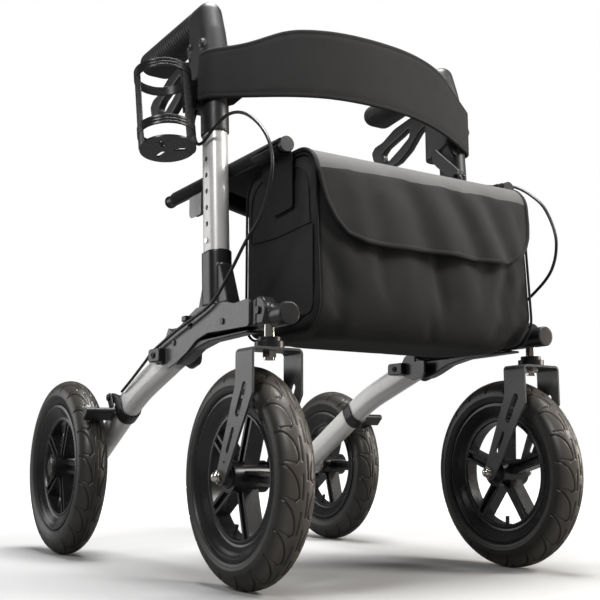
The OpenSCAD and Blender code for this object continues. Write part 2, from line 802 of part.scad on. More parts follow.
// Handles
module handle_stem(s) {
    top = post_len + skirt_h + 40;
    color([0.1, 0.1, 0.1]) at_post(s) difference() {
        translate([0, 0, post_len - stem_in]) linear_extrude(top - post_len + stem_in)
            oval_tube(stem_tube[0], stem_tube[1], tube_wall);
        translate([0, 0, hole_base]) along_x(0, tube_w, hole_r);
    }
}
module handle_housing(s) {
    slot = lever_t / 2 + 0.5;
    color([0.13, 0.13, 0.13]) difference() {
        union() {
            at_post(s) translate([0, 0, post_len - skirt_lap]) linear_extrude(skirt_lap + skirt_h + 20)
                oval(tube_w + 2 * skirt_wall, tube_d + 2 * skirt_wall);
            at_handle(s) intersection() {
                union() {
                    hull() {
                        translate([0, 0, 54]) cylinder(h = house_shoulder - 54, r = house_r, $fn = 32);
                        translate([0, house_run, 36]) cylinder(h = house_shoulder - 36, r = house_r,
                            $fn = 32);
                    }
                    hull() {
                        translate([0, 0, house_shoulder - 2]) cylinder(h = 2, r = house_r, $fn = 32);
                        translate([0, house_run, house_shoulder - 2]) cylinder(h = 2, r = house_r,
                            $fn = 32);
                        translate([0, 13, dome_z - 46]) sphere(house_r, $fn = 32);
                        translate([0, 25, dome_z - 7]) sphere(house_r - 1, $fn = 32);
                        translate([0, grip_y + 20, dome_z - 9]) sphere(grip_r + 1, $fn = 32);
                    }
                }
                union() {
                    translate([-60, grip_y - 400, 0]) cube([120, 400, 400]);
                    translate([-60, 0, 0]) cube([120, 400, pivot_up + 26]);
                }
            }
            at_handle(s) for (p = [[6, 134, 7.5], [46, 141, 5.5]]) translate([0, p[0], p[1]])
                along_x(house_r - 4, 6.5, p[2]);
        }
        at_post(s) linear_extrude(post_len + skirt_h + 40 + fit) oval(stem_tube[0] + fit,
            stem_tube[1] + fit);
        at_post(s) linear_extrude(post_len + gap) oval(tube_w + 2 * gap, tube_d + 2 * gap);
        at_handle(s) translate([-slot, pivot_back - 14, pivot_up - 17]) cube([2 * slot, 80, 34]);
        at_handle(s) translate([0, pivot_back, pivot_up]) along_x(-40, 80, pin_r);
    }
    color([0.6, 0.6, 0.6]) at_handle(s) translate([0, pivot_back, pivot_up]) along_x(-house_r + 6,
        2 * house_r - 12, pin_r);
}
module grip(s) {
    color([0.06, 0.06, 0.06]) at_handle(s) intersection() {
        hull() {
            translate([0, grip_y + 4, dome_z - 10]) sphere(grip_r + 1.5, $fn = 32);
            for (x = [-1, 1]) {
                translate([x * palm_spread / 2, grip_y + grip_len / 2, dome_z - 15]) sphere(grip_r,
                    $fn = 32);
                translate([x * palm_spread, grip_y + grip_len - grip_r, dome_z - 23]) sphere(grip_r + 0.5,
                    $fn = 32);
            }
        }
        translate([-60, grip_y, 0]) cube([120, 400, 400]);
    }
}
// Outline of the lever's loop behind its pivot, for a lever 187 long
lever_outer = [
    [-9, 9], [26, 11], [60, 22], [112, 13], [150, -4], [176, -8], [187, -18], [181, -37], [157, -54],
        [121, -63], [98, -60],
    [66, -44], [36, -18], [18, -9], [-9, -9],
];
lever_hole = [[62, 2], [90, -8], [135, -21], [149, -31], [145, -46], [129, -48], [96, -33], [66, -17]];
function lever_scaled(points) = [for (p = points) [p[0] * lever_len / 187, p[1]]];
module brake_lever(s) {
    color([0.08, 0.08, 0.08]) at_handle(s) translate([0, pivot_back, pivot_up]) difference() {
        side_slab(-lever_t / 2, lever_t)
            polygon(rounded(lever_scaled(lever_outer), [8.5, 30, 20, 50, 30, 16, 7, 10, 24, 30, 20, 40,
                12, 20, 8.5]));
        side_slab(-lever_t, 2 * lever_t) polygon(rounded(lever_scaled(lever_hole), [4, 30, 20, 6, 6, 8,
            40, 6]));
        along_x(-60, 120, pin_r + fit);
    }
}
module snap_button(s) {
    color([0.8, 0.8, 0.82]) at_post(s) translate([0, 0, hole_base]) {
        along_x(stem_tube[0] / 2 - tube_wall - 4, tube_wall + 4 + stem_gap + tube_wall + button_out,
            hole_r - 0.3);
        along_x(stem_tube[0] / 2 - tube_wall - 4, 3.5, hole_r + 1.5);
    }
}

// Cross frame: brace a carries the left hinge tube and the right rail, brace b the other two
module round_bar(a, b, r) {
    d = b - a;
    translate(a) rotate([0, 90 - atan2(d[2], d[0]), 0]) cylinder(h = norm(d), r = r);
}
// Brace b's side: hinge tube at +X, rail at -X
module cross_brace(y) {
    at_cross = [0, y, cross_z];
    low = [hinge_x, y, pivot_z];
    knee = [-brace_knee[0], y, brace_knee[1]];
    high = [-brace_end[0], y, brace_end[1]];
    difference() {
        union() {
            round_bar(low, at_cross, brace_r);
            translate(at_cross) sphere(brace_r + 0.25);
            round_bar(at_cross, knee, brace_r);
            translate(knee) sphere(brace_r + 0.25);
            round_bar(knee, high, brace_r);
            translate([hinge_x, 0, pivot_z]) {
                along_y(hinge_front, hinge_rear - hinge_front, hinge_r);
                along_y(hinge_front - journal_len, journal_len + 1, journal_r);
                along_y(hinge_rear - 1, bush_len - 1, journal_r);
            }
            translate([-brace_end[0] - 6, gusset_y[0], rail_z - rail_r - gusset_h + 4])
                cube([8, gusset_y[1] - gusset_y[0], gusset_h]);
            translate(at_cross) along_y(-brace_r - 1, 2 * brace_r + 2, journal_r + 5);
        }
        translate(at_cross) along_y(-60, 120, journal_r + fit);
        translate([-rail_x, 0, rail_z]) along_y(-400, 800, rail_r + 0.05);
        for (z = [16, 26]) translate([0, gusset_y[1] - 14 - (z - 16) * 1.2, rail_z - rail_r - z])
            along_x(-2 * rail_x, rail_x, z / 8);
    }
}
module cross_brace_a() {
    color([0.11, 0.11, 0.12]) mirror([1, 0, 0]) cross_brace(brace_y + brace_step);
}
module cross_brace_b() {
    color([0.11, 0.11, 0.12]) cross_brace(brace_y);
}
module cross_pivot_bolt() {
    reach = brace_r + 1;
    front = brace_y - reach;
    rear = brace_y + brace_step + reach;
    color([0.7, 0.7, 0.72]) translate([0, 0, cross_z]) {
        along_y(front - 5, rear - front + 10, journal_r);
        for (y = [front - 5 - gap, rear + gap]) along_y(y, 5, journal_r + 4);
    }
}
module seat_rail(s) {
    color([0.12, 0.12, 0.12]) side(s) translate([rail_x, 0, rail_z]) {
        along_y(-rail_front, rail_len, rail_r);
        along_y(-rail_front - 3, 5, rail_r + 1.5);
        along_y(rail_len - rail_front - 2, 4, rail_r + 1);
    }
}

// Soft pieces
module seat_fabric() {
    half = rail_x - rail_r - gap;
    color([0.1, 0.1, 0.1]) translate([-half, -seat_front, rail_z - seat_t / 2]) cube([2 * half, seat_len,
        seat_t]);
}
// Plan of one half of the strap: the bow from the middle plane, then the wrap round the housing
module strap_plan() {
    far = 2 * strap_r;
    wrap_end = 10;
    intersection() {
        translate([0, strap_c]) difference() {
            circle(strap_r + strap_t / 2, $fn = 200);
            circle(strap_r - strap_t / 2, $fn = 200);
        }
        translate([0, strap_c]) polygon([
            [0, 0], [0, -far], [far * sin(strap_turn / 2), -far * cos(strap_turn / 2)],
            [far * sin(strap_turn), -far * cos(strap_turn)],
        ]);
    }
    translate([side_x, post_top_y]) intersection() {
        difference() {
            circle(wrap_r + strap_t / 2);
            circle(wrap_r - strap_t / 2);
        }
        polygon([
            [-1, 0.5], 99 * [sin(strap_turn - 1), -cos(strap_turn - 1)], 140 * [sin(45 + strap_turn / 2),
                -cos(45 + strap_turn / 2)],
            99 * [cos(wrap_end), sin(wrap_end)],
        ]);
    }
}
module backrest_half(s) {
    z = strap_z;
    narrow = side_x - 25;
    wide = side_x - 103;
    end = side_x + wrap_r + 6;
    drop = 16;
    top = z + strap_mid_h;
    color([0.13, 0.13, 0.13]) side(s) intersection() {
        translate([0, 0, z - 50]) linear_extrude(strap_mid_h + 100) strap_plan();
        rotate([90, 0, 0]) translate([0, 0, -strap_r]) linear_extrude(2 * strap_r) polygon(rounded(
            [[-1, z - 1], [side_x - 165, z - 1], [side_x - 20, z - drop + 2], [end, z - drop],
             [end, z - drop + strap_end_h + 4], [narrow, z + strap_end_h], [wide, top], [-1, top]],
            [0.1, 200, 120, 4, 8, 50, 70, 0.1]
        ));
    }
}
function bag_outline(d) = rounded(
    [[-bag_rear + d, bag_bottom - d], [-bag_rear + d, bag_top + d], [bag_front + bag_lean - d, bag_top + d],
     [bag_front - d, bag_bottom - d]],
    [28 + d, bag_round + d, bag_round + d, 26 + d]
);
module bag_body() {
    half = bag_w / 2;
    ring_r = rail_r + gap;
    color([0.11, 0.11, 0.11]) {
        difference() {
            side_slab(-half, bag_w) polygon(bag_outline(0));
            side_slab(bag_wall - half, bag_w - 2 * bag_wall) polygon(bag_outline(-bag_wall));
            translate([3 * bag_wall - half, bag_front + 2 * bag_round, bag_top - 2 * bag_wall])
                cube([bag_w - 6 * bag_wall, flap_rear - bag_front - 2 * bag_round - 4 * bag_wall,
                    4 * bag_wall]);
        }
        for (s = [-1, 1]) side(s) difference() {
            union() {
                side_slab(half, hanger_t) polygon([
                    [hanger_y[0], rail_z], [hanger_y[1], rail_z], [hanger_y[1] - 24, rail_z - hanger_drop],
                    [hanger_y[0] - 30, rail_z - hanger_drop],
                ]);
                translate([half, hanger_y[0], rail_z - 7])
                    cube([rail_x - half, hanger_y[1] - hanger_y[0], 14]);
                translate([rail_x, 0, rail_z]) along_y(hanger_y[0], hanger_y[1] - hanger_y[0],
                    ring_r + hanger_t);
            }
            translate([rail_x, 0, rail_z]) along_y(-400, 800, ring_r);
        }
    }
}
module bag_flap() {
    half = bag_w / 2;
    lower = bag_top - flap_drop;
    color([0.17, 0.17, 0.17]) intersection() {
        difference() {
            side_slab(-half, bag_w) polygon(bag_outline(gap + flap_t));
            side_slab(-bag_w, 2 * bag_w) polygon(bag_outline(gap));
        }
        translate([-half, bag_front - 50, lower]) cube([bag_w, flap_rear - bag_front + 50, flap_drop + 50]);
        rotate([90, 0, 0]) translate([0, 0, -400]) linear_extrude(800) polygon(rounded(
            [[-half, bag_top + 50], [-half, lower], [half, lower], [half, bag_top + 50]],
            [1, 45, 45, 1]
        ));
    }
}

// Cup holder: two ribbed rings, a floor with slots, a wide panel and a narrow strap
module cup_sector(from, to, z, h) {
    reach = 3 * cup_ring_r;
    translate([0, 0, z]) linear_extrude(h) intersection() {
        difference() {
            circle(cup_ring_r - 1);
            circle(cup_inner_r + cup_relief);
        }
        polygon(concat([[0, 0]], [for (i = [0:8]) let (a = from + (to - from) * i / 8) reach * [cos(a),
            sin(a)]]));
    }
}
module cup_ring(z, bore) {
    groove = 1.2;
    third = cup_ring_h / 3;
    translate([0, 0, z]) difference() {
        rotate_extrude() polygon([
            [bore - 2, 0], [cup_ring_r, 0],
            [cup_ring_r, third - groove], [cup_ring_r - groove, third], [cup_ring_r, third + groove],
            [cup_ring_r, 2 * third - groove], [cup_ring_r - groove, 2 * third],
            [cup_ring_r, 2 * third + groove],
            [cup_ring_r, cup_ring_h], [bore - 2, cup_ring_h],
        ]);
        translate([0, 0, -1]) cylinder(h = cup_ring_h + 2, r = bore);
    }
}
module cup_holder() {
    floor_t = 3;
    low_ring = 22;
    color([0.1, 0.1, 0.1]) side(-1) translate([cup_x, cup_y, cup_z + cup_mid])
        rotate([-cup_lean, 0, 0]) translate([0, 0, -cup_mid]) {
        difference() {
            union() {
                cylinder(h = floor_t, r = cup_inner_r + cup_relief + 1);
                cup_ring(low_ring, cup_inner_r + cup_relief);
                cup_ring(cup_holder_h - cup_ring_h, cup_inner_r);
                cup_sector(184, 252, 0, cup_holder_h - 2);
                cup_sector(-10, 22, 0, cup_holder_h - 2);
                translate([-cup_ring_r - cup_bracket, -9, cup_holder_h - 54])
                    cube([cup_bracket + 2.5, 18, 48]);
            }
            for (i = [0:2]) rotate([0, 0, 120 * i + 80]) translate([0, 0, -1]) linear_extrude(floor_t + 2)
                slot2d([13, 0], [25, 0], 3.8);
        }
        cup_sector(158, 186, cup_holder_h - 54, 48);
    }
}

in_frame() side_plates(-1);  // left_side_plates
in_frame() front_block(-1);  // left_front_block
in_frame() post_sleeve(-1);  // left_post_sleeve
in_frame() post(-1);  // left_post
in_frame() rear_leg(-1);  // left_rear_leg
in_frame() frame_screws(-1);  // left_frame_screws
in_frame() caster_stem(-1);  // left_caster_stem
in_frame() brake_collar(-1);  // left_brake_collar
in_frame() brake_cable(-1);  // left_brake_cable
in_frame() frame_trim(-1);  // left_frame_trim
// Nodes of the right side frame
in_frame() side_plates(1);  // right_side_plates
in_frame() front_block(1);  // right_front_block
in_frame() post_sleeve(1);  // right_post_sleeve
in_frame() post(1);  // right_post
in_frame() rear_leg(1);  // right_rear_leg
in_frame() frame_screws(1);  // right_frame_screws
in_frame() caster_stem(1);  // right_caster_stem
in_frame() brake_collar(1);  // right_brake_collar
in_frame() brake_cable(1);  // right_brake_cable
in_frame() frame_trim(1);  // right_frame_trim
// Nodes of the casters and wheels
in_frame() fork(-1);  // left_fork
in_frame() caster_bearing(-1);  // left_caster_bearing
in_frame() fork(1);  // right_fork
in_frame() caster_bearing(1);  // right_caster_bearing
in_frame() at_front_wheel(-1) tyre(front_r);  // left_front_tyre
in_frame() at_front_wheel(-1) rim(front_turn[0]);  // left_front_rim
in_frame() front_axle(-1);  // left_front_axle
in_frame() at_front_wheel(1) tyre(front_r);  // right_front_tyre
in_frame() at_front_wheel(1) rim(front_turn[1]);  // right_front_rim
in_frame() front_axle(1);  // right_front_axle
in_frame() at_rear_wheel(-1) tyre(rear_r);  // left_rear_tyre
in_frame() at_rear_wheel(-1) rim(rear_turn[0]);  // left_rear_rim
in_frame() rear_axle(-1);  // left_rear_axle
in_frame() at_rear_wheel(1) tyre(rear_r);  // right_rear_tyre
in_frame() at_rear_wheel(1) rim(rear_turn[1]);  // right_rear_rim
in_frame() rear_axle(1);  // right_rear_axle
// Nodes of the handles and brakes
in_frame() handle_stem(-1);  // left_handle_stem
in_frame() handle_housing(-1);  // left_handle_housing
in_frame() grip(-1);  // left_grip
in_frame() brake_lever(-1);  // left_brake_lever
in_frame() brake_arm(-1);  // left_brake_arm
in_frame() snap_button(-1);  // left_snap_button
in_frame() handle_stem(1);  // right_handle_stem
in_frame() handle_housing(1);  // right_handle_housing
in_frame() grip(1);  // right_grip
in_frame() brake_lever(1);  // right_brake_lever
in_frame() brake_arm(1);  // right_brake_arm
in_frame() snap_button(1);  // right_snap_button
// Nodes of the cross frame, the soft pieces and the cup holder
in_frame() cross_brace_a();
in_frame() cross_brace_b();
in_frame() seat_rail(-1);  // left_seat_rail
in_frame() seat_rail(1);  // right_seat_rail
in_frame() cross_pivot_bolt();
in_frame() seat_fabric();
in_frame() backrest_half(-1);  // backrest_left_half
in_frame() backrest_half(1);  // backrest_right_half
in_frame() bag_body();
in_frame() bag_flap();
in_frame() cup_holder();
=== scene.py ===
"""Looks of a folding all terrain rollator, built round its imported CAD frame."""
import json
import math

import bmesh
import bpy
import numpy as np
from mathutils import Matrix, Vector, noise


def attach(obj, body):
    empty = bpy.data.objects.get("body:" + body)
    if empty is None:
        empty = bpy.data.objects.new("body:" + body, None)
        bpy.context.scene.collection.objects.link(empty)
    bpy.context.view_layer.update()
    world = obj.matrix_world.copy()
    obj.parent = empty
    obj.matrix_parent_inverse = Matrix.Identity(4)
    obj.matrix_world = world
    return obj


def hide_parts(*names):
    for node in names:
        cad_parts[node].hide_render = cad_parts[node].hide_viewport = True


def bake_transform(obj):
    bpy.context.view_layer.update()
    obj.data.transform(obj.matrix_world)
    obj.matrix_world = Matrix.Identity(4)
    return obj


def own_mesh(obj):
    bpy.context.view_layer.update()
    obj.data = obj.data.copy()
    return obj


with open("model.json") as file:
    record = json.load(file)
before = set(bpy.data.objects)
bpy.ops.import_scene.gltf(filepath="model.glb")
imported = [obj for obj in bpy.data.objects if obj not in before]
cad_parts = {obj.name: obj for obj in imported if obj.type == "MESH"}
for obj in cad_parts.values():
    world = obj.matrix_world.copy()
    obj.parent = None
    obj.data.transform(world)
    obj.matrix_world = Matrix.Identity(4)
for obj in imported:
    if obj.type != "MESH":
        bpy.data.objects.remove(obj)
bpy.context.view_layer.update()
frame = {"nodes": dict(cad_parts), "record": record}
NODES = frame["nodes"]
BODY_OF = {n: b for b, ns in frame["record"]["behaviour"]["bodies"].items() for n in ns}
SLOT_OF = {s["node"]: s["material_slot"] for s in frame["record"]["subparts"]}
MM = 0.001
SHIFT = np.array([17.15, -173.55, 0.0])  # from the working frame to the part's frame, in mm
SIDES = (("left", -1), ("right", 1))
SIDE_X = 247.0  # from the middle plane to a side frame
RAIL_X, RAIL_Z, RAIL_R = 218.0, 620.0, 10.0  # seat rails
# Each wheel's x and y, and its radius, which is also the height of its axle
WHEELS = {"front": (249.0, -124.0, 152.5), "rear": (298.7, 464.6, 159.0)}


def at(points):
    """Points of the working frame in mm, as metres in the part's frame."""
    return (np.asarray(points, float) + SHIFT) * MM


# Camera
cam = bpy.data.objects.new("camera", bpy.data.cameras.new("camera"))
bpy.context.scene.collection.objects.link(cam)
cam.data.lens = 57.23
cam.data.sensor_width = 36
cam.data.clip_end = 60
cam.location = at((-910.7, -1289.1, 187.3))
cam.rotation_euler = (math.radians(99.0), 0, math.radians(-32.8))
bpy.context.scene.camera = cam


# Materials
class Nodes:
    """Short calls for building one material's node tree."""

    def __init__(self, name):
        self.mat = bpy.data.materials.new(name)
        self.mat.use_nodes = True
        self.tree = self.mat.node_tree
        self.shader = self.tree.nodes["Principled BSDF"]
        self.coord = self.tree.nodes.new("ShaderNodeTexCoord").outputs["Object"]

    def new(self, kind, **values):
        node = self.tree.nodes.new("ShaderNode" + kind)
        for key, value in values.items():
            if hasattr(node, key):
                setattr(node, key, value)
            else:
                node.inputs[key].default_value = value
        return node

    def link(self, a, b):
        self.tree.links.new(a, b)

    def noise(self, scale, detail=4.0, stretch=(1, 1, 1)):
        mapping = self.new("Mapping")
        mapping.inputs["Scale"].default_value = stretch
        self.link(self.coord, mapping.inputs["Vector"])
        tex = self.new("TexNoise", Scale=scale, Detail=detail)
        self.link(mapping.outputs["Vector"], tex.inputs["Vector"])
        return tex.outputs["Fac"]

    def math(self, op, a, b=None):
        node = self.new("Math", operation=op)
        for i, v in enumerate((a, b)):
            if v is None:
                continue
            if isinstance(v, (int, float)):
                node.inputs[i].default_value = v
            else:
                self.link(v, node.inputs[i])
        return node.outputs[0]

    def ramp(self, fac, low, high, start=0.3, end=0.7):
        node = self.new("ValToRGB")
        ramp = node.color_ramp
        ramp.elements[0].position, ramp.elements[1].position = start, end
        ramp.elements[0].color, ramp.elements[1].color = (*low, 1), (*high, 1)
        self.link(fac, node.inputs["Fac"])
        return node.outputs["Color"]

    def spread(self, fac, low, high):
        node = self.new("MapRange")
        node.inputs["To Min"].default_value, node.inputs["To Max"].default_value = low, high
        self.link(fac, node.inputs["Value"])
        return node.outputs["Result"]

    def bump(self, height, strength, distance, normal=None):
        node = self.new("Bump", Strength=strength, Distance=distance)
        self.link(height, node.inputs["Height"])
        if normal is not None:
            self.link(normal, node.inputs["Normal"])
        return node.outputs["Normal"]


def shade(colour, k):
    return tuple(min(1.0, c * k) for c in colour)


def solid_material(name, colour, rough, metallic=0.0, vary=0.18, grain=1400.0, bump=0.12,
                   stretch=(1, 1, 1), bevel=0.0008, gloss=0.5):
    """Moulded plastic, rubber, paint or metal with grain, uneven gloss and softened edges."""
    n = Nodes(name)
    cloud = n.noise(28.0, 5.0)
    n.link(n.ramp(cloud, shade(colour, 1 - vary), shade(colour, 1 + vary)), n.shader.inputs["Base Color"])
    wear = n.noise(90.0, 6.0, stretch)
    n.link(n.spread(wear, rough * 0.82, min(1.0, rough * 1.18)), n.shader.inputs["Roughness"])
    n.shader.inputs["Metallic"].default_value = metallic
    n.shader.inputs["Specular IOR Level"].default_value = gloss
    edge = None
    if bevel:
        node = n.new("Bevel", samples=4)
        node.inputs["Radius"].default_value = bevel
        edge = node.outputs["Normal"]
    fine = n.noise(grain, 2.0, stretch)
    n.link(n.bump(fine, bump, 0.0004, edge), n.shader.inputs["Normal"])
    return n.mat


def fabric_material(name, colour, rough, pitch):
    """Plain weave: crossing threads in all three directions, with lint and slight fading."""
    depth, sheen, vary = 0.5, 0.03, 0.16
    n = Nodes(name)
    parts = n.new("SeparateXYZ")
    n.link(n.coord, parts.inputs[0])
    wave = [n.math("SINE", n.math("MULTIPLY", parts.outputs[i], 2 * math.pi / pitch)) for i in range(3)]
    cross = n.math("ADD", n.math("MULTIPLY", wave[0], wave[1]),
                   n.math("ADD", n.math("MULTIPLY", wave[1], wave[2]), n.math("MULTIPLY", wave[2], wave[0])))
    thread = n.spread(cross, 0.0, 1.0)
    cloud = n.math("ADD", n.math("MULTIPLY", n.noise(9.0, 6.0), 0.8), n.math("MULTIPLY", thread, 0.12))
    n.link(n.ramp(cloud, shade(colour, 1 - vary), shade(colour, 1 + vary)), n.shader.inputs["Base Color"])
    n.link(n.spread(n.noise(60.0, 4.0), rough * 0.9, min(1.0, rough * 1.1)), n.shader.inputs["Roughness"])
    n.shader.inputs["Sheen Weight"].default_value = sheen
    n.shader.inputs["Specular IOR Level"].default_value = 0.25
    n.shader.inputs["Sheen Roughness"].default_value = 0.5
    lint = n.math("ADD", thread, n.math("MULTIPLY", n.noise(700.0, 3.0), 0.6))
    n.link(n.bump(lint, depth, 0.0003), n.shader.inputs["Normal"])
    return n.mat


def tyre_material(colour, crown_dust_and_highlight_tint, groove_shade_tint):
    """Rubber with a paler crown on its tread, partly dust and partly a painted highlight, and painted shade
    down in its sipes.
    """
    mat = solid_material("tyre_rubber", colour, 0.37, grain=900, bump=0.15, bevel=0)
    tree = mat.node_tree
    shader = tree.nodes["Principled BSDF"]
    tone = shader.inputs["Base Color"].links[0].from_socket
    # The crown's tint is dust with a painted highlight; the grooves' tint is painted shade in the sipes
    for mask, tint in (("crown", crown_dust_and_highlight_tint), ("groove", groove_shade_tint)):
        amount = tree.nodes.new("ShaderNodeAttribute")
        amount.attribute_name = mask
        mix = tree.nodes.new("ShaderNodeMix")
        mix.data_type = "RGBA"
        mix.inputs[7].default_value = (*tint, 1)
        tree.links.new(amount.outputs["Fac"], mix.inputs[0])
        tree.links.new(tone, mix.inputs[6])
        tone = mix.outputs[2]
    tree.links.new(tone, shader.inputs["Base Color"])
    return mat


def ribbed(mat):
    """Adds moulded ribs across a grip, 7 mm apart."""
    pitch, bands = 0.007, 3.183  # between ribs in metres, and the texture's bands per metre at scale 1
    tree = mat.node_tree
    bump = tree.nodes["Principled BSDF"].inputs["Normal"].links[0].from_node
    coord = tree.nodes.new("ShaderNodeTexCoord")
    wave = tree.nodes.new("ShaderNodeTexWave")
    wave.bands_direction = "Y"
    wave.inputs["Scale"].default_value = 1 / (pitch * bands)
    wave.inputs["Distortion"].default_value = 0.0
    ribs = tree.nodes.new("ShaderNodeBump")
    ribs.inputs["Strength"].default_value = 0.5
    ribs.inputs["Distance"].default_value = 0.0016
    tree.links.new(coord.outputs["Object"], wave.inputs["Vector"])
    tree.links.new(wave.outputs["Fac"], ribs.inputs["Height"])
    tree.links.new(ribs.outputs["Normal"], bump.inputs["Normal"])
    return mat


MATS = {
    # Tyres: a paler crown tint, dust with a painted highlight, and a near black tint for painted shade in the
    # sipes
    "tyre_rubber": tyre_material((0.0245, 0.0228, 0.0210), (0.094, 0.084, 0.072), (0.0012, 0.0011, 0.0010)),
    "rim_black": solid_material("rim_black", (0.016, 0.016, 0.017), 0.26),
    "chrome": solid_material("chrome", (0.83, 0.80, 0.74), 0.16, 1.0, vary=0.05, bump=0.02),
    "plate_grey": solid_material("plate_grey", (0.085, 0.085, 0.084), 0.29, vary=0.1),
    "black_plastic": solid_material("black_plastic", (0.017, 0.017, 0.018), 0.31),
    "silver_tube": solid_material("silver_tube", (0.80, 0.79, 0.77), 0.34, 0.25, vary=0.04, grain=2200,
                                  bump=0.1, stretch=(1, 1, 0.3), bevel=0),
    "black_steel": solid_material("black_steel", (0.014, 0.014, 0.015), 0.34),
    "cable_black": solid_material("cable_black", (0.014, 0.014, 0.014), 0.35, bevel=0),
    "fork_black": solid_material("fork_black", (0.085, 0.085, 0.085), 0.3, vary=0.1),
    "housing_black": solid_material("housing_black", (0.026, 0.026, 0.027), 0.42, grain=2400, bump=0.18,
                                    bevel=0),
    "grip_rubber": ribbed(solid_material("grip_rubber", (0.015, 0.015, 0.0155), 0.5, grain=1800, bump=0.3,
                                         bevel=0)),
    "rail_black": solid_material("rail_black", (0.0095, 0.0095, 0.010), 0.3, gloss=0.4),
    "strap_fabric": fabric_material("strap_fabric", (0.026, 0.026, 0.0265), 0.8, pitch=0.0009),
    "seat_fabric": fabric_material("seat_fabric", (0.012, 0.012, 0.0125), 0.85, pitch=0.0014),
    "bag_fabric": fabric_material("bag_fabric", (0.024, 0.024, 0.0238), 0.78, pitch=0.0012),
    "cup_plastic": solid_material("cup_plastic", (0.016, 0.016, 0.017), 0.27),
    "housing_bolt": solid_material("housing_bolt", (0.05, 0.05, 0.052), 0.3),
}
# The flap's pale top is a painted highlight where the light from above falls
FLAP_TOP_HIGHLIGHT = fabric_material("flap_top_painted_highlight", (0.125, 0.125, 0.123), 0.7, pitch=0.0012)
PIPING = fabric_material("piping", (0.010, 0.010, 0.0105), 0.7, pitch=0.0008)
THREAD = fabric_material("thread", (0.030, 0.030, 0.031), 0.7, pitch=0.0005)
GUSSET = solid_material("gusset_zinc", (0.30, 0.30, 0.30), 0.38, 0.4)

for name, node in NODES.items():
    if not node.material_slots:
        node.data.materials.append(None)
    for s in node.material_slots:
        s.material = MATS[SLOT_OF[name]]


# Building blocks
def add(name, verts, faces, mat, smooth=True):
    mesh = bpy.data.meshes.new(name)
    mesh.from_pydata([tuple(v) for v in verts], [], faces)
    mesh.update()
    obj = bpy.data.objects.new(name, mesh)
    bpy.context.scene.collection.objects.link(obj)
    for m in mat if isinstance(mat, (list, tuple)) else [mat]:
        mesh.materials.append(m)
    mesh.polygons.foreach_set("use_smooth", [smooth] * len(mesh.polygons))
    return obj


def outward(obj):
    """Turns all faces outward."""
    bm = bmesh.new()
    bm.from_mesh(obj.data)
    bmesh.ops.recalc_face_normals(bm, faces=bm.faces)
    bm.to_mesh(obj.data)
    bm.free()
    return obj


def grid_faces(nu, nv, wrap_u=False, wrap_v=False, base=0):
    faces = []
    for i in range(nu if wrap_u else nu - 1):
        for j in range(nv if wrap_v else nv - 1):
            a, b = i % nu, (i + 1) % nu
            c, d = j % nv, (j + 1) % nv
            faces.append((base + a * nv + c, base + b * nv + c, base + b * nv + d, base + a * nv + d))
    return faces


def settle(obj):
    """Applies the modifiers of obj to its mesh."""
    dg = bpy.context.evaluated_depsgraph_get()
    mesh = bpy.data.meshes.new_from_object(obj.evaluated_get(dg))
    obj.modifiers.clear()
    obj.data = mesh
    return obj


def modify(obj, kind, **values):
    mod = obj.modifiers.new(kind.lower(), kind)
    for key, value in values.items():
        setattr(mod, key, value)
    return mod


def resample(points, step):
    """Evenly spaced points along a smooth curve through the given ones."""
    p = np.asarray(points, float)
    dense = []
    ext = np.vstack([2 * p[0] - p[1], p, 2 * p[-1] - p[-2]])
    for i in range(len(p) - 1):
        a, b, c, d = ext[i:i + 4]
        for s in np.linspace(0, 1, 16, endpoint=False):
            dense.append(0.5 * (2 * b + (c - a) * s + (2 * a - 5 * b + 4 * c - d) * s ** 2
                                + (3 * b - a - 3 * c + d) * s ** 3))
    dense.append(p[-1])
    dense = np.array(dense)
    run = np.concatenate([[0], np.cumsum(np.linalg.norm(np.diff(dense, axis=0), axis=1))])
    n = max(2, int(round(run[-1] / step)) + 1)
    want = np.linspace(0, run[-1], n)
    return np.stack([np.interp(want, run, dense[:, k]) for k in range(3)], axis=1)


def sweep(name, path, section, mat, up=(1, 0, 0), closed=False):
    """Sweeps a closed section of (across, along-up) offsets in metres along a path in metres."""
    path = np.asarray(path, float)
    sec = np.asarray(section, float)
    if closed:
        tangent = np.roll(path, -1, axis=0) - np.roll(path, 1, axis=0)
    else:
        tangent = np.gradient(path, axis=0)
    tangent /= np.linalg.norm(tangent, axis=1)[:, None]
    side = np.asarray(up, float) - (tangent @ np.asarray(up, float))[:, None] * tangent
    small = np.linalg.norm(side, axis=1) < 1e-4
    side[small] = np.cross(tangent[small], (0.3, 0.2, 0.9))
    side /= np.linalg.norm(side, axis=1)[:, None]
    other = np.cross(tangent, side)
    verts = path[:, None] + sec[None, :, :1] * side[:, None] + sec[None, :, 1:] * other[:, None]
    n, m = len(path), len(sec)
    faces = grid_faces(n, m, wrap_u=closed, wrap_v=True)
    if not closed:
        faces += [tuple(range(m))[::-1], tuple((n - 1) * m + k for k in range(m))]
    return outward(add(name, verts.reshape(-1, 3), faces, mat))


def circle(r, n=10, squash=1.0):
    a = np.linspace(0, 2 * math.pi, n, endpoint=False)
    return np.stack([r * np.cos(a), r * squash * np.sin(a)], axis=1)


def lathe(name, profile, place, axis, mat, n=40):
    """Turns (radius, along) points, in mm, about an axis through a place in mm."""
    axis = np.asarray(axis, float)
    u = np.cross(axis, (0.2, 0.5, 0.8))
    u /= np.linalg.norm(u)
    v = np.cross(axis, u)
    a = np.linspace(0, 2 * math.pi, n, endpoint=False)
    ring = np.cos(a)[:, None] * u + np.sin(a)[:, None] * v
    prof = np.asarray(profile, float)
    verts = np.asarray(place, float) + prof[:, 0, None, None] * ring + prof[:, 1, None, None] * axis
    faces = grid_faces(len(prof), n, wrap_v=True)
    faces += [tuple(range(n))[::-1], tuple((len(prof) - 1) * n + k for k in range(n))]
    return outward(add(name, at(verts.reshape(-1, 3)), faces, mat))


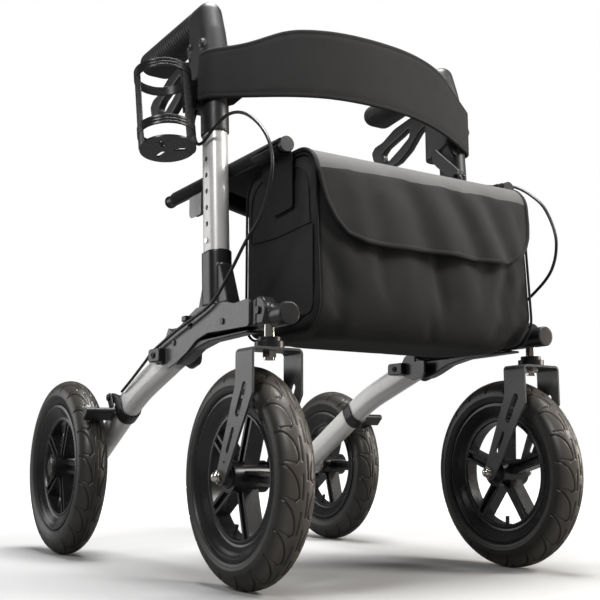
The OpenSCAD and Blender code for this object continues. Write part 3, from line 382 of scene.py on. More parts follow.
def slab(name, outline, place, mat, bevel=0.4):
    """A plate from an outline of 3-D points (mm) and a thickness vector, with softened edges."""
    p = np.asarray(outline, float)
    n = len(p)
    verts = np.vstack([p, p + np.asarray(place, float)])
    faces = [tuple(range(n))[::-1], tuple(range(n, 2 * n))]
    faces += [(k, (k + 1) % n, n + (k + 1) % n, n + k) for k in range(n)]
    obj = outward(add(name, at(verts), faces, mat, smooth=False))
    modify(obj, "BEVEL", width=bevel * MM, segments=3, limit_method="ANGLE")
    return settle(obj)


def dress(obj, body, node=None):
    """Rides a piece on a body, where it may stand for a node, which is then hidden."""
    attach(obj, body)
    if node:
        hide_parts(node)
    return obj


def smooth_copy(node, voxel, rounds):
    """A moulded, round-edged piece that stands for a sharp-edged CAD node."""
    obj = bpy.data.objects.new(node + "_moulded", NODES[node].data.copy())
    bpy.context.scene.collection.objects.link(obj)
    bm = bmesh.new()
    bm.from_mesh(obj.data)
    bmesh.ops.remove_doubles(bm, verts=bm.verts, dist=2e-6)
    bm.to_mesh(obj.data)
    bm.free()
    modify(obj, "REMESH", mode="VOXEL", voxel_size=voxel * MM, use_smooth_shade=True)
    modify(obj, "SMOOTH", factor=0.5, iterations=rounds)
    modify(obj, "DECIMATE", ratio=0.5)
    settle(obj)
    obj.data.materials.clear()
    obj.data.materials.append(MATS[SLOT_OF[node]])
    obj.data.polygons.foreach_set("use_smooth", [True] * len(obj.data.polygons))
    return dress(obj, BODY_OF[node], node)


def stitches(name, path, mat, pitch=4.2, length=2.8, r=0.35):
    """A row of short threads along a path in mm."""
    sides, turn = 5, 1.2566  # of a thread, and the radians between them
    p = resample(path, 0.7)
    run = np.concatenate([[0], np.cumsum(np.linalg.norm(np.diff(p, axis=0), axis=1))])
    verts, faces = [], []
    start = 0.0
    while start + length < run[-1]:
        ends = [np.array([np.interp(start + k * length, run, p[:, i]) for i in range(3)]) for k in (0, 1)]
        d = ends[1] - ends[0]
        u = np.cross(d, (0.31, 0.52, 0.8))
        u /= np.linalg.norm(u)
        v = np.cross(d, u)
        v /= np.linalg.norm(v)
        base = len(verts)
        for far, k in ((0, 0.6), (0.25, 1), (0.75, 1), (1, 0.6)):
            middle = ends[0] * (1 - far) + ends[1] * far
            for a in range(sides):
                verts.append(middle + k * r * (math.cos(a * turn) * u + math.sin(a * turn) * v))
        faces += grid_faces(4, sides, wrap_v=True, base=base)
        faces.append(tuple(base + k for k in range(sides))[::-1])
        faces.append(tuple(base + 3 * sides + k for k in range(sides)))
        start += pitch
    return outward(add(name, at(verts), faces, mat))


# Tyres
def tread(t, a, pitch):
    """Depth in mm of the moulded sipes at a run t round the tyre and a distance a from its middle."""
    lines = []  # each sipe's start, end, depth and half width
    start, reach = 8, 28  # of the arcs: distance from the middle, and how far out they run
    arc = [(0.94 * pitch * math.sin(k), start + reach * (1 - math.cos(k)))
           for k in np.linspace(0, math.pi / 2, 10)]
    lines += [(arc[i], arc[i + 1], 1.7, 0.95) for i in range(9)]
    lines.append(((0, start), (-5, 13), 1.7, 0.95))
    lines.append(((-3, 11), (1, 27), 1.1, 0.8))
    depth = np.zeros_like(t)
    for flip, shift in ((1, 0.0), (-1, 0.5)):
        side = a * flip
        for p, q, deep, half in lines:
            for k in (-1, 0, 1):
                tt = np.mod(t + shift * pitch, pitch) + k * pitch
                d = np.array(q) - np.array(p)
                s = np.clip(((tt - p[0]) * d[0] + (side - p[1]) * d[1]) / (d @ d), 0, 1)
                far = np.hypot(tt - p[0] - s * d[0], side - p[1] - s * d[1])
                depth = np.maximum(depth, deep * np.clip(1.5 - far / half, 0, 1))
        run = np.mod(t + (shift + 0.2) * pitch, pitch)
        off = np.abs(side - 3.6)
        dash = np.clip((0.36 * pitch - np.abs(run - 0.5 * pitch)) / 1.5, 0, 1)
        mark = np.clip(1.5 - off, 0, 1) * dash
        depth = np.maximum(depth, 1.4 * mark)
    return depth


def tyre(word, end, x, y, r):
    half, rim_r, around, shoulder, repeats = 27.0, 114.0, 880, 1.42, 20
    mid = r - half
    edge = math.acos((rim_r + 0.6 - mid) / half)
    angles = np.concatenate([np.linspace(-edge, -shoulder, 8, endpoint=False),
                             np.linspace(-shoulder, shoulder, 76),
                             np.linspace(shoulder, edge, 8 + 1)[1:]])
    theta = np.linspace(0, 2 * math.pi, around, endpoint=False)
    pitch = 2 * math.pi * r / repeats
    tt, aa = np.meshgrid(theta * r, angles * half, indexing="ij")
    deep = tread(tt, aa, pitch)
    ring = sum(h * np.exp(-((np.abs(angles) - a) / 0.03) ** 2) for h, a in ((0.7, 1.62), (-0.5, 1.72)))
    section = half - 0.35 - deep + ring[None, :]
    radial = mid + section * np.cos(angles)[None, :]
    across = section * np.sin(angles)[None, :]
    inner = np.array([(rim_r + 0.4, 18.0), (rim_r - 3, 15.0), (rim_r - 3, -15.0), (rim_r + 0.4, -18.0)])
    radial = np.hstack([radial, np.repeat(inner[None, :, 0], around, 0)])
    across = np.hstack([across, np.repeat(inner[None, :, 1], around, 0)])
    back, up = radial * np.sin(theta)[:, None], radial * np.cos(theta)[:, None]
    verts = np.stack([x + across, y + back, r + up], axis=-1)
    node = f"{word}_{end}_tyre"
    obj = outward(add(node + "_treaded", at(verts.reshape(-1, 3)),
                      grid_faces(around, len(angles) + 4, wrap_u=True, wrap_v=True), MATS["tyre_rubber"]))
    # Paler crown, dust with a painted highlight, made weaker on the rear tyres as painted shade
    crown_dust_and_highlight_share = np.clip((1.2 - np.abs(angles)) / 0.5, 0, 1) * (1.0 if end == "front" else 0.35)
    # The groove depth lays painted shade down in the sipes
    for mask, amount in (("groove", deep / deep.max()), ("crown", np.repeat(crown_dust_and_highlight_share[None, :], around, 0))):
        values = obj.data.attributes.new(mask, "FLOAT", "POINT")
        values.data.foreach_set("value", np.hstack([amount, np.zeros((around, 4))]).ravel())
    return dress(obj, f"{word}_{end}_wheel", node)


for word, s in SIDES:
    for end, (x, y, r) in WHEELS.items():
        tyre(word, end, s * x, y, r)


# Axle trim, in profiles of (radius, distance from the wheel's middle)
AXLE_SLEEVE = [(8.7, 28.1), (15.5, 28.1), (16, 28.6), (15.6, 29.4), (13, 30), (11.4, 30.6), (10.8, 35.6),
               (10.2, 36.3), (8.7, 36.3)]
AXLE_DOME = [(7.6, 45.4), (7.4, 48.2), (6.3, 50.6), (4.2, 52.2), (1.9, 52.9), (0.3, 53)]
HUB_CAP = [(17.5, 28.05), (18.2, 28.6), (17.8, 29.8), (16.5, 30.8), (13.5, 31.0), (12.9, 31.6), (8, 31.8),
           (0.3, 31.9)]
for word, s in SIDES:
    front, rear = ((s * x, y, r) for x, y, r in WHEELS.values())
    for t in (-1, 1):
        side = "in" if t != s else "out"
        sleeve = lathe(f"{word}_axle_sleeve_{side}", AXLE_SLEEVE, front, (t, 0, 0), MATS["black_steel"])
        dress(sleeve, f"{word}_caster")
        dome = lathe(f"{word}_axle_dome_{side}", AXLE_DOME, front, (t, 0, 0), MATS["chrome"])
        dress(dome, f"{word}_caster")
    cap = lathe(f"{word}_hub_cap", HUB_CAP, rear, (s, 0, 0), MATS["rim_black"])
    dress(cap, f"{word}_frame")


# Rear legs, bent from one oval tube
def oval(w, d, n=36):
    pts = []
    for k in range(n):
        a = 2 * math.pi * (k + 0.5) / n
        pts.append((w / 2 * math.cos(a), w / 2 * math.sin(a) + math.copysign((d - w) / 2, math.sin(a))))
    return np.array(pts) * MM


LEG = {"slope": math.radians(18.9), "run": 160, "bend": 45, "start": np.array([102, 342.0]),
       "tip": np.array([464.6, 171.0]), "width": 32, "depth": 48}
LEG_BOSS = [(6.2, -16), (17.5, -16), (19, -14.5), (19, 14.5), (17.5, 16), (6.2, 16)]


def leg_line():
    """Middle of the bent leg, as (y, z) points."""
    run, bend, start, tip = LEG["run"], LEG["bend"], LEG["start"], LEG["tip"]
    knee = start + run * np.array([math.cos(LEG["slope"]), -math.sin(LEG["slope"])])
    low = (tip - knee) / np.linalg.norm(tip - knee)
    high = (knee - start) / run
    pts = [start + high * k for k in np.linspace(0, run - bend, 12)]
    a, b, c = knee - bend * high, knee, knee + bend * low
    pts += [(1 - k) ** 2 * a + 2 * k * (1 - k) * b + k * k * c for k in np.linspace(0, 1, 14)[1:-1]]
    return pts + [knee + low * k for k in np.linspace(bend, np.linalg.norm(tip - knee) - 6, 16)]


for word, s in SIDES:
    path = at([(s * SIDE_X, y, z) for y, z in leg_line()])
    leg = sweep(f"{word}_rear_leg_tube", path, oval(LEG["width"], LEG["depth"]), MATS["silver_tube"])
    dress(leg, f"{word}_frame", f"{word}_rear_leg")
    tip = (s * SIDE_X, *WHEELS["rear"][1:])
    boss = lathe(f"{word}_axle_boss", LEG_BOSS, tip, (1, 0, 0), MATS["silver_tube"], 48)
    dress(boss, f"{word}_frame")


# Moulded pieces with round edges: node, voxel in mm, rounds of smoothing
MOULDED = (("handle_housing", 1.8, 10), ("grip", 2.0, 8), ("brake_lever", 1.4, 7), ("front_block", 1.4, 3),
           ("post_sleeve", 1.4, 4), ("brake_arm", 1.4, 4), ("brake_collar", 1.4, 3), ("frame_trim", 1.4, 3))
for word, _ in SIDES:
    for piece, voxel, rounds in MOULDED:
        smooth_copy(f"{word}_{piece}", voxel, rounds)


# Brake cables: the same routes as the part's own cables
CABLE_LOW = [(272, -60, 402), (274, 7, 383), (274, 60, 371), (273, 143, 348), (271, 175, 335),
             (270, 235, 308), (267, 284, 290)]
TOP = 689.522  # lower edge of the handles' housings
CABLES = {
    "left": [(262, 22, TOP + 34), (268, 20, TOP + 8), (270, 4, TOP - 26), (270, -18, TOP - 32),
             (268, -45, TOP - 20), (264, -85, TOP - 7), (262, -130, TOP - 17), (262, -176, 642),
             (262, -205, 607), (263, -215, 572), (264, -205, 535), (266, -186, 503), (268, -152, 477),
             (270, -108, 437)],
    "right": [(262, 22, TOP + 34), (268, 14, TOP + 8), (270, -10, TOP - 8), (270, -32, TOP - 18),
              (267, -80, TOP - 34), (264, -128, TOP - 48), (262, -154, 635), (262, -188, 613),
              (262, -219, 581), (263, -238, 528), (265, -224, 480), (267, -180, 446), (270, -122, 420)],
}
for word, s in SIDES:
    path = at(resample([(s * p[0], p[1], p[2]) for p in CABLES[word] + CABLE_LOW], 6.0))
    cable = sweep(f"{word}_cable", path, circle(0.0025, 12), MATS["cable_black"], up=(1, 0.2, 0.1))
    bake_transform(cable)
    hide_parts(f"{word}_brake_cable")


# Backrest strap, in two halves that meet in the middle
STRAP = {"r": 509.6, "wrap": 27.0, "x": SIDE_X, "y": -13.12}
STRAP["c"] = STRAP["y"] - 95 + STRAP["r"]
STRAP["turn"] = math.atan2(STRAP["x"], STRAP["c"] - STRAP["y"])


def ease(t):
    t = min(1.0, max(0.0, t))
    return t * t * (3 - 2 * t)


def strap_plan(run):
    """Place and outward normal, in plan, at a run from the middle, for the +X half."""
    first = STRAP["r"] * STRAP["turn"]
    if run <= first:
        a = run / STRAP["r"]
        return (STRAP["r"] * math.sin(a), STRAP["c"] - STRAP["r"] * math.cos(a)), (math.sin(a), -math.cos(a))
    a = STRAP["turn"] + (run - first) / STRAP["wrap"]
    return ((STRAP["x"] + STRAP["wrap"] * math.sin(a), STRAP["y"] - STRAP["wrap"] * math.cos(a)),
            (math.sin(a), -math.cos(a)))


# Heights of the strap's edges at runs from the middle
STRAP_TOP = [(0, 853.5), (60, 853.2), (100, 851.3), (140, 847), (160, 843), (180, 835.5), (200, 826.5),
             (220, 818), (240, 812.5), (260, 809), (280, 805.5), (300, 802), (330, 799)]
STRAP_LOW = [(0, 740.5), (60, 740.2), (100, 738.8), (140, 735.8), (180, 732.2), (220, 728.6), (260, 726.2),
             (300, 725), (330, 725)]


def strap_edges(run):
    """Heights of the strap's two edges, eased between the measured points."""
    near = [abs(run + d) for d in (-16, -8, 0, 8, 16)]
    return tuple(float(np.mean(np.interp(near, *np.array(line).T))) for line in (STRAP_LOW, STRAP_TOP))


def strap_half(word, s):
    total = STRAP["r"] * STRAP["turn"] + STRAP["wrap"] * 1.2
    runs = np.concatenate([np.linspace(0, total - 8, 72), np.linspace(total - 7, total, 6)])
    section = [(-2.2, 0.0), (-2.9, 1.2), (-2.9, 5.0), (-2.5, 6.2), (-2.9, 7.6)]
    back = [(-a, b) for a, b in section[::-1]]
    verts = []
    for run in runs:
        (x, y), (nx, ny) = strap_plan(run)
        low, top = strap_edges(run)
        close = max(0.0, (run - (total - 8)) / 8)
        shrink = 5 * (1 - math.sqrt(max(0.0, 1 - close * close)))
        low, top = low + shrink, top - shrink
        thin = 1 - 0.35 * close ** 3
        loop = [(d, low + h) for d, h in section]
        loop += [(-3.0, low + (top - low) * k) for k in np.linspace(0.15, 0.85, 8)]
        loop += [(d, top - h) for d, h in section[::-1]]
        loop += [(-d, top - h) for d, h in section]
        loop += [(3.0, top - (top - low) * k) for k in np.linspace(0.15, 0.85, 8)]
        loop += [(d, low + h) for d, h in back]
        for d, z in loop:
            verts.append((s * (x - nx * d * thin), y - ny * d * thin, z))
    m = len(verts) // len(runs)
    faces = grid_faces(len(runs), m, wrap_v=True)
    faces += [tuple((len(runs) - 1) * m + k for k in range(m))[::-1], tuple(len(verts) + k for k in range(m))]
    verts += verts[:m]
    obj = outward(add(f"backrest_strap_{word}", at(verts), faces, MATS["strap_fabric"]))
    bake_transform(obj)
    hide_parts(f"backrest_{word}_half")
    inset, proud = 6.2, 2.7  # of the seams, from the strap's edges and from its middle surface
    for edge, which, step in (("low", 0, inset), ("top", 1, -inset)):
        rows = []
        for run in np.linspace(2, total - 10, 90):
            (x, y), (nx, ny) = strap_plan(run)
            rows.append((s * (x + nx * proud), y + ny * proud, strap_edges(run)[which] + step))
        seam = stitches(f"strap_seam_{word}_{edge}", rows, THREAD, r=0.4)
        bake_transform(seam)
    return obj


for word, s in SIDES:
    strap_half(word, s)

knob = lathe("right_strap_knob", [(3, 0), (8.5, 0), (9.5, 1.2), (9.5, 5), (8, 7), (4.5, 8), (0.8, 8.2)],
             (276.5, -13, 776), (1, 0, 0), MATS["black_plastic"])
dress(knob, "right_handle")


# Seat: a sheet sewn round both rails
def seat():
    front, length, sag, lift = -118.0, 300.0, 7.5, RAIL_R + 1.3
    wrap = [(-RAIL_X - lift * math.cos(a), RAIL_Z + lift * math.sin(a))
            for a in np.linspace(-1.1, math.pi / 2, 14)]
    flat = [(x, RAIL_Z + lift - sag * (1 - (x / RAIL_X) ** 2))
            for x in np.linspace(-RAIL_X, RAIL_X, 46)[1:-1]]
    line = wrap + flat + [(-x, z) for x, z in wrap[::-1]]
    rows = np.linspace(0, 1, 34)
    verts = []
    for x, z in line:
        for k in rows:
            y = front + length * k
            wave = 0.8 * noise.noise(Vector((x * 0.02, y * 0.03, 3.1))) if abs(x) < 205 else 0
            verts.append((x, y, z + wave))
    obj = add("seat_sheet", at(verts), grid_faces(len(line), len(rows)), MATS["seat_fabric"])
    modify(obj, "SOLIDIFY", thickness=0.0022, offset=0)
    settle(obj)
    outward(obj)
    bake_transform(obj)
    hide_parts("seat_fabric")


seat()


# Bag
FOLDS = [(-140, 20, 2.6, 0.12), (-88, 26, 3.6, 0.2), (-36, 18, -3.0, 0.25), (6, 24, 4.4, 0.3),
         (52, 17, -3.4, 0.4), (88, 21, 4.6, 0.5), (122, 15, -2.6, 0.4), (158, 16, 2.4, 0.3)]


def fold_depth(x, z):
    """How far the slack fabric stands out, in mm, in soft slanting folds: (place, width, depth, slant)."""
    depth = sum(d * math.exp(-((x - at_x + lean * (z - 540)) / w) ** 2) for at_x, w, d, lean in FOLDS)
    return depth + 1.5 * noise.noise(Vector((x * 0.02, z * 0.015, 1.7)))


BAG = {"half": 202.0, "rear": -35.0, "bottom": 348.0, "top": 606.0, "front": -240.0, "lean": 14.0}


def rounded(points, radii, n=8):
    """An outline with arcs of the given radii at its corners."""
    out = []
    count = len(points)
    for i in range(count):
        p, a, b = (np.array(points[k % count], float) for k in (i, i - 1, i + 1))
        u, v = (a - p) / np.linalg.norm(a - p), (b - p) / np.linalg.norm(b - p)
        half = math.acos(np.clip(u @ v, -1, 1)) / 2
        back = radii[i] / math.tan(half)
        mid = p + (u + v) / np.linalg.norm(u + v) * radii[i] / math.sin(half)
        s, e = p + u * back - mid, p + v * back - mid
        a0 = math.atan2(s[1], s[0])
        turn = (math.atan2(e[1], e[0]) - a0 + math.pi) % (2 * math.pi) - math.pi
        for k in range(n + 1):
            ang = a0 + turn * k / n
            out.append(mid + radii[i] * np.array([math.cos(ang), math.sin(ang)]))
    return np.array(out)


def even(outline, step):
    loop = np.vstack([outline, outline[:1]])
    run = np.concatenate([[0], np.cumsum(np.linalg.norm(np.diff(loop, axis=0), axis=1))])
    n = int(round(run[-1] / step))
    want = np.linspace(0, run[-1], n, endpoint=False)
    return np.stack([np.interp(want, run, loop[:, k]) for k in range(2)], axis=1)


def bag_outline(inset):
    rear, front = BAG["rear"] - inset, BAG["front"] + inset
    low, top = BAG["bottom"] + inset, BAG["top"] - inset
    return rounded([(rear, low), (rear, top), (front + BAG["lean"], top), (front, low)], [32, 38, 38, 44])


def swell(x, y, z):
    """How far the full bag's front stands out, in mm."""
    b = BAG
    high = min(1.0, max(0.0, (z - b["bottom"]) / (b["top"] - b["bottom"])))
    out = 11.0 * (1 - min(1.0, abs(x) / b["half"]) ** 2.4) * math.sin(math.pi * high ** 0.9) ** 1.2
    return out * ease((-150 - y) / 60)


def simulate(obj, pins, frames=18, pressure=1.2, slack=0.02, cap=9.0, gravity=0.6):
    """Cloth with a little spare fabric, held at its seams; no point moves more than the cap, in mm."""
    rest = np.array([v.co for v in obj.data.vertices])
    group = obj.vertex_groups.new(name="pins")
    for i in range(len(rest)):
        group.add([i], float(pins[i]), "REPLACE")
    mod = modify(obj, "CLOTH")
    c = mod.settings
    c.quality = 5
    c.mass = 0.25
    c.tension_stiffness = c.compression_stiffness = 25
    c.shear_stiffness = 10
    c.bending_stiffness = 0.6
    c.vertex_group_mass = "pins"
    c.pin_stiffness = 1.0
    c.shrink_min = -slack
    c.use_pressure = True
    c.uniform_pressure_force = pressure
    c.effector_weights.gravity = gravity
    mod.collision_settings.use_collision = False
    mod.point_cache.frame_start, mod.point_cache.frame_end = 1, frames
    scene = bpy.context.scene
    for f in range(1, frames + 1):
        scene.frame_set(f)
    dg = bpy.context.evaluated_depsgraph_get()
    now = np.array([v.co for v in obj.evaluated_get(dg).data.vertices])
    obj.modifiers.clear()
    scene.frame_set(1)
    move = now - rest
    far = np.linalg.norm(move, axis=1)
    move *= (np.minimum(far, cap * MM) / np.maximum(far, 1e-9))[:, None]
    obj.data.vertices.foreach_set("co", (rest + move).ravel())
    obj.data.update()
    return obj


def bag_shell():
    line = even(bag_outline(3.0), 8.5)
    across = np.linspace(-BAG["half"] + 2, BAG["half"] - 2, 48)
    n, m = len(line), len(across)
    verts, pins = [], []
    for y, z in line:
        for x in across:
            loose = 0.8 * fold_depth(x, z - 90) * ease((BAG["half"] - abs(x)) / 40) * ease((-205 - y) / 20)
            verts.append((x, y - swell(x, y, z) - loose * ease((z - 370) / 60), z))
            edge = min(1.0, max(0.0, 1 - (BAG["half"] - 2 - abs(x)) / 12))
            pins.append(max(edge, 0.9 if z > BAG["top"] - 30 else 0.0, 0.15))
    faces = grid_faces(n, m, wrap_u=True)
    mid = line.mean(axis=0)
    for end, j in ((-1, 0), (1, m - 1)):
        ring = [i * m + j for i in range(n)]
        for k in np.linspace(1, 0, 12)[1:]:
            new = []
            for i in range(n):
                p = mid + (line[i] - mid) * max(k, 0.02)
                new.append(len(verts))
                verts.append((end * (BAG["half"] - 2 + 3 * (1 - k * k)), *p))
                pins.append(0.35)
            faces += [(ring[i], ring[(i + 1) % n], new[(i + 1) % n], new[i]) for i in range(n)]
            ring = new
        faces.append(tuple(ring))
    obj = outward(add("bag_shell", at(verts), faces, MATS["bag_fabric"]))
    simulate(obj, pins)
    modify(obj, "SMOOTH", factor=0.4, iterations=2)
    settle(obj)
    return obj


def flap_path(offset):
    """Runs from the hinge over the top and down the front, as (y, z)."""
    b = BAG
    outline = rounded([(b["rear"] + offset, b["bottom"]), (b["rear"] + offset, b["top"] + offset),
                       (b["front"] + b["lean"] - offset, b["top"] + offset),
                       (b["front"] - offset, b["bottom"] - offset)],
                      [28, 38 + offset, 38 + offset, 26], 14)
    keep = [p for p in outline if p[0] < -126 - 1 and p[1] > 420]
    front = [np.array([-126.0, b["top"] + offset])] + keep + [np.array([b["front"] - offset + 3, 440.0])]
    return np.array(front)


# Heights of the flap's lower edge, across the bag
FLAP_EDGE = [(-201, 585), (-196, 560), (-188, 530), (-176, 505), (-157, 485), (-130, 476), (-90, 473.5),
             (-22, 475), (56, 473.5), (110, 473), (140, 475.5), (162, 483), (180, 495), (192, 508),
             (199, 525), (201, 545)]


def highlight_edge(x):
    """Height of the lower edge of the painted highlight along the flap's top."""
    broad, fine = (noise.noise(Vector(p)) for p in ((x * 0.021, 0.4, 0), (x * 0.06, 2.4, 0)))
    return 578 + 3.5 * broad + 1.5 * fine


def bag_flap():
    half, corner = 201, 150  # half width, and where the rounded corners begin
    path = flap_path(4.0)
    run = np.concatenate([[0], np.cumsum(np.linalg.norm(np.diff(path, axis=0), axis=1))])
    falling = path[:, 0] < -200
    fx, fz = np.array(FLAP_EDGE).T
    xs = np.concatenate([np.linspace(-half, -corner, 22), np.linspace(-corner, corner, 60)[1:-1],
                         np.linspace(corner, half, 22)])
    above, below = 20, 34
    verts = []
    for x in xs:
        heights = np.interp(x, fx, fz), highlight_edge(x)
        stop, mid = (np.interp(-z, -path[falling, 1], run[falling]) for z in heights)
        downs = [np.linspace(0, mid, above, endpoint=False), np.linspace(mid, max(stop, mid + 4), below)]
        for d in np.concatenate(downs):
            y, z = np.interp(d, run, path[:, 0]), np.interp(d, run, path[:, 1])
            loose = ease((d - mid + 24) / 60) * ease((half - abs(x)) / 30)
            full = swell(x, y, z) * ease((half + 2 - abs(x)) / 20)
            verts.append((x, y - 1.6 - full - loose * fold_depth(x, z), z))
    rows = above + below
    # The rows above the highlight's edge take the painted highlight
    obj = add("bag_flap_sheet", at(verts), grid_faces(len(xs), rows), [MATS["bag_fabric"], FLAP_TOP_HIGHLIGHT])
    obj.data.polygons.foreach_set("material_index", [1 if min(v % rows for v in f.vertices) < above else 0
                                                     for f in obj.data.polygons])
    modify(obj, "SOLIDIFY", thickness=0.0024, offset=0)
    settle(obj)
    outward(obj)
    grid = np.array(verts).reshape(len(xs), rows, 3)
    edge = np.vstack([grid[0, :-1], grid[:, -1], grid[-1, -2::-1]])
    width = np.linalg.norm(np.diff(grid[:, :above // 2], axis=0), axis=2).sum(axis=0).max() * MM
    length = np.linalg.norm(np.diff(grid, axis=1), axis=2).sum(axis=1).max() * MM
    quads = np.cross(grid[1:, 1:] - grid[:-1, :-1], grid[:-1, 1:] - grid[1:, :-1])
    return obj, edge, (float(width), float(length)), float(np.linalg.norm(quads, axis=2).sum() / 2 * MM * MM)


def bag_fold(obj):
    """Gives a piece of the bag a mesh of its own."""
    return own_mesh(obj)


shell = bag_shell()
flap, flap_edge, flap_flat, flap_area = bag_flap()
bag_fold(dress(shell, "bag", "bag_body"))
bag_fold(dress(flap, "bag_flap", "bag_flap"))
piping = sweep("flap_piping", at(resample(flap_edge, 4.0)), circle(0.0026, 10, 1.7), PIPING,
               up=(0.2, -0.95, 0.25))
bag_fold(dress(piping, "bag_flap"))


def bag_trim(obj):
    return bag_fold(dress(obj, "bag"))


for word, s in SIDES:
    x = s * (BAG["half"] - 1.5)
    for k, (inset, r) in enumerate(((1.0, 2.0), (17.0, 1.1))):
        ring = at([(x + s * 1.5 * k, y, z) for y, z in even(bag_outline(inset), 5.0)])
        bag_trim(sweep(f"bag_{word}_piping_{k}", ring, circle(r * MM, 8), PIPING, closed=True))
    pocket = [(x + s * 4.2, y, 497 + 3 * math.sin((y + 60) / 40)) for y in np.linspace(-58, -222, 30)]
    bag_trim(sweep(f"bag_{word}_pocket_hem", at(pocket), circle(1.6 * MM, 8, 0.8), PIPING))
    panel = rounded([(-55, 372), (-55, 497), (-224, 497), (-224, 372)], [16, 2, 2, 16])
    bag_trim(slab(f"bag_{word}_pocket", [(x + s * 1.2, y, z) for y, z in panel], (s * 2.6, 0, 0),
                  MATS["bag_fabric"], 0.9))
    hanger = rounded([(-96, 630), (-168, 630), (-178, 600), (-178, 529), (-128, 525), (-92, 592)],
                     [3, 3, 10, 3, 3, 12])
    bag_trim(slab(f"bag_{word}_hanger", [(s * 206.0, y, z) for y, z in hanger], (s * 2.2, 0, 0), PIPING, 0.8))
    loop = [(s * (RAIL_X + 11.6 * math.cos(a)), RAIL_Z + 11.6 * math.sin(a))
            for a in np.linspace(0.1, 2 * math.pi - 0.1, 24)]
    verts = np.array([[(a, y, b) for a, b in loop] for y in (-168.0, -98.0)]).reshape(-1, 3)
    sleeve = add(f"bag_{word}_sleeve", at(verts), grid_faces(2, len(loop)), PIPING)
    modify(sleeve, "SOLIDIFY", thickness=0.0018, offset=0)
    settle(sleeve)
    bag_trim(outward(sleeve))

# Pale plates on the braces under the rails, brackets at the strap's ends, and bolts in the housings
PLATE = rounded([(80, 572), (124, 572), (124, 616), (80, 612)], [4, 10, 4, 3])
BRACKETS = {
    "lower": [(242, -34, 742), (205, -45, 746), (207, -45, 741), (226, -38, 722), (242, -34, 716)],
    "upper": [(243, -33, 806), (228, -38, 809), (231, -38, 817), (243, -33, 818)],
}
BOLTS = ((-7, 823.5, 7.6), (33, 830.5, 5.6))  # y, height and radius
for word, s in SIDES:
    plate = slab(f"{word}_gusset_plate", [(s * 220.2, y, z) for y, z in PLATE], (s * 1.6, 0, 0), GUSSET)
    dress(plate, "brace_b" if word == "left" else "brace_a")
    for name, outline in BRACKETS.items():
        bracket = slab(f"{word}_strap_bracket_{name}", [(s * x, y, z) for x, y, z in outline], (0, 5, 0),
                       MATS["black_plastic"])
        dress(bracket, f"{word}_handle")
    for k, (y, z, r) in enumerate(BOLTS):
        head = [(r, 0), (r, 2.2), (r * 0.94, 3.4), (r * 0.75, 4.5), (r * 0.45, 5.2), (r * 0.05, 5.4)]
        bolt = lathe(f"{word}_housing_bolt_{k}", head, (s * 268.0, y, z), (s, 0, 0), MATS["housing_bolt"])
        dress(bolt, f"{word}_handle")

# Cable clips at the rear ends of the plates
CLIP = rounded([(108, 329), (108, 351), (150, 351), (150, 329)], [4, 4, 6, 6])
CLIP_SCREW = [(5.5, 0), (5.5, 1.5), (4.5, 2.6), (2.2, 2.9), (2.0, 1.2), (0.3, 1.2)]
for word, s in SIDES:
    for side, x, t in (("outer", 263.5, 1), ("inner", 230.5, -1)):
        dress(slab(f"{word}_cable_clip_{side}", [(s * x, y, z) for y, z in CLIP], (s * t * 15, 0, 0),
                   MATS["black_plastic"], 1.6), f"{word}_frame")
        screw = lathe(f"{word}_clip_screw_{side}", CLIP_SCREW, (s * (x + t * 14.8), 129, 340), (s * t, 0, 0),
                      MATS["black_steel"])
        dress(screw, f"{word}_frame")

# Guide arm at the right handle
arm = rounded([(14, 738), (4, 738), (-70, 672), (-66, 658), (-54, 656), (2, 704), (14, 716)],
              [3, 8, 4, 4, 8, 14, 3])
dress(slab("guide_arm", [(220.5, y, z) for y, z in arm], (6.5, 0, 0), MATS["black_plastic"], 1.0),
      "right_handle")
EYE = [(5.2, 0), (9.6, 0), (10.2, 0.8), (10.2, 7), (9.6, 7.8), (6.4, 7.8), (5.6, 7), (5.2, 2)]
eye = lathe("guide_eye", EYE, (220.0, -58, 668), (-1, 0, 0), MATS["black_plastic"])
dress(eye, "right_handle")


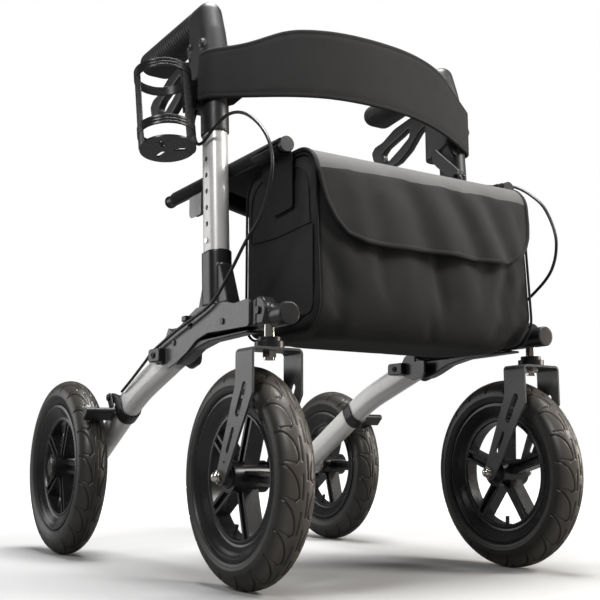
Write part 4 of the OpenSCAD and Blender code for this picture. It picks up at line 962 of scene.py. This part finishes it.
# Stage and lights
def studio_floor():
    """A pale floor that brightens with distance, so that it runs into the backdrop."""
    n = Nodes("floor_white")
    n.shader.inputs["Roughness"].default_value = 0.75
    n.shader.inputs["Specular IOR Level"].default_value = 0.1
    n.shader.inputs["Emission Color"].default_value = (1, 1, 1, 1)
    size = n.new("VectorMath", operation="LENGTH")
    n.link(n.coord, size.inputs[0])
    far = n.new("MapRange", interpolation_type="SMOOTHSTEP")
    for key, value in (("From Min", 0.55), ("From Max", 1.9), ("To Min", 0.0), ("To Max", 1.0)):
        far.inputs[key].default_value = value
    n.link(size.outputs["Value"], far.inputs["Value"])
    seen = n.new("LightPath").outputs["Is Camera Ray"]
    n.link(n.spread(seen, 0.18, 0.57), n.shader.inputs["Base Color"])
    n.link(n.math("MULTIPLY", far.outputs["Result"], seen), n.shader.inputs["Emission Strength"])
    corners = [(-30, -30, 0), (30, -30, 0), (30, 30, 0), (-30, 30, 0)]
    floor = add("floor", corners, [(0, 1, 2, 3)], n.mat, smooth=False)


def studio_world(light):
    """A white backdrop that lights the part more softly than it looks."""
    world = bpy.data.worlds.new("studio")
    bpy.context.scene.world = world
    world.use_nodes = True
    tree = world.node_tree
    level = tree.nodes.new("ShaderNodeMapRange")
    level.inputs["To Min"].default_value, level.inputs["To Max"].default_value = light, 1.0
    tree.links.new(tree.nodes.new("ShaderNodeLightPath").outputs["Is Camera Ray"], level.inputs["Value"])
    backdrop = tree.nodes["Background"]
    backdrop.inputs["Color"].default_value = (1, 1, 1, 1)
    tree.links.new(level.outputs["Result"], backdrop.inputs["Strength"])


def area(name, place, target, size, power, colour=(1, 1, 1)):
    light = bpy.data.lights.new(name, "AREA")
    light.shape, light.size, light.energy, light.color = "DISK", size, power, colour
    obj = bpy.data.objects.new(name, light)
    bpy.context.scene.collection.objects.link(obj)
    obj.location = place
    obj.rotation_euler = (Vector(target) - Vector(place)).to_track_quat("-Z", "Y").to_euler()


studio_floor()
studio_world(0.09)
WARM = (1.0, 0.91, 0.82)
area("key", (1.35, -1.75, 1.75), (0, -0.1, 0.4), 0.9, 46, (1.0, 0.96, 0.91))
area("top", (0.0, -0.1, 2.6), (0, 0, 0.4), 1.4, 104)
area("left", (-2.4, -1.2, 1.9), (0, 0, 0.5), 0.8, 30)
area("right", (2.9, -1.3, 0.6), (0, -0.3, 0.2), 1.2, 40, WARM)
area("back_left", (-1.9, 2.4, 0.9), (0, 0, 0.35), 1.6, 13)
bpy.context.scene.view_settings.view_transform = "Standard"
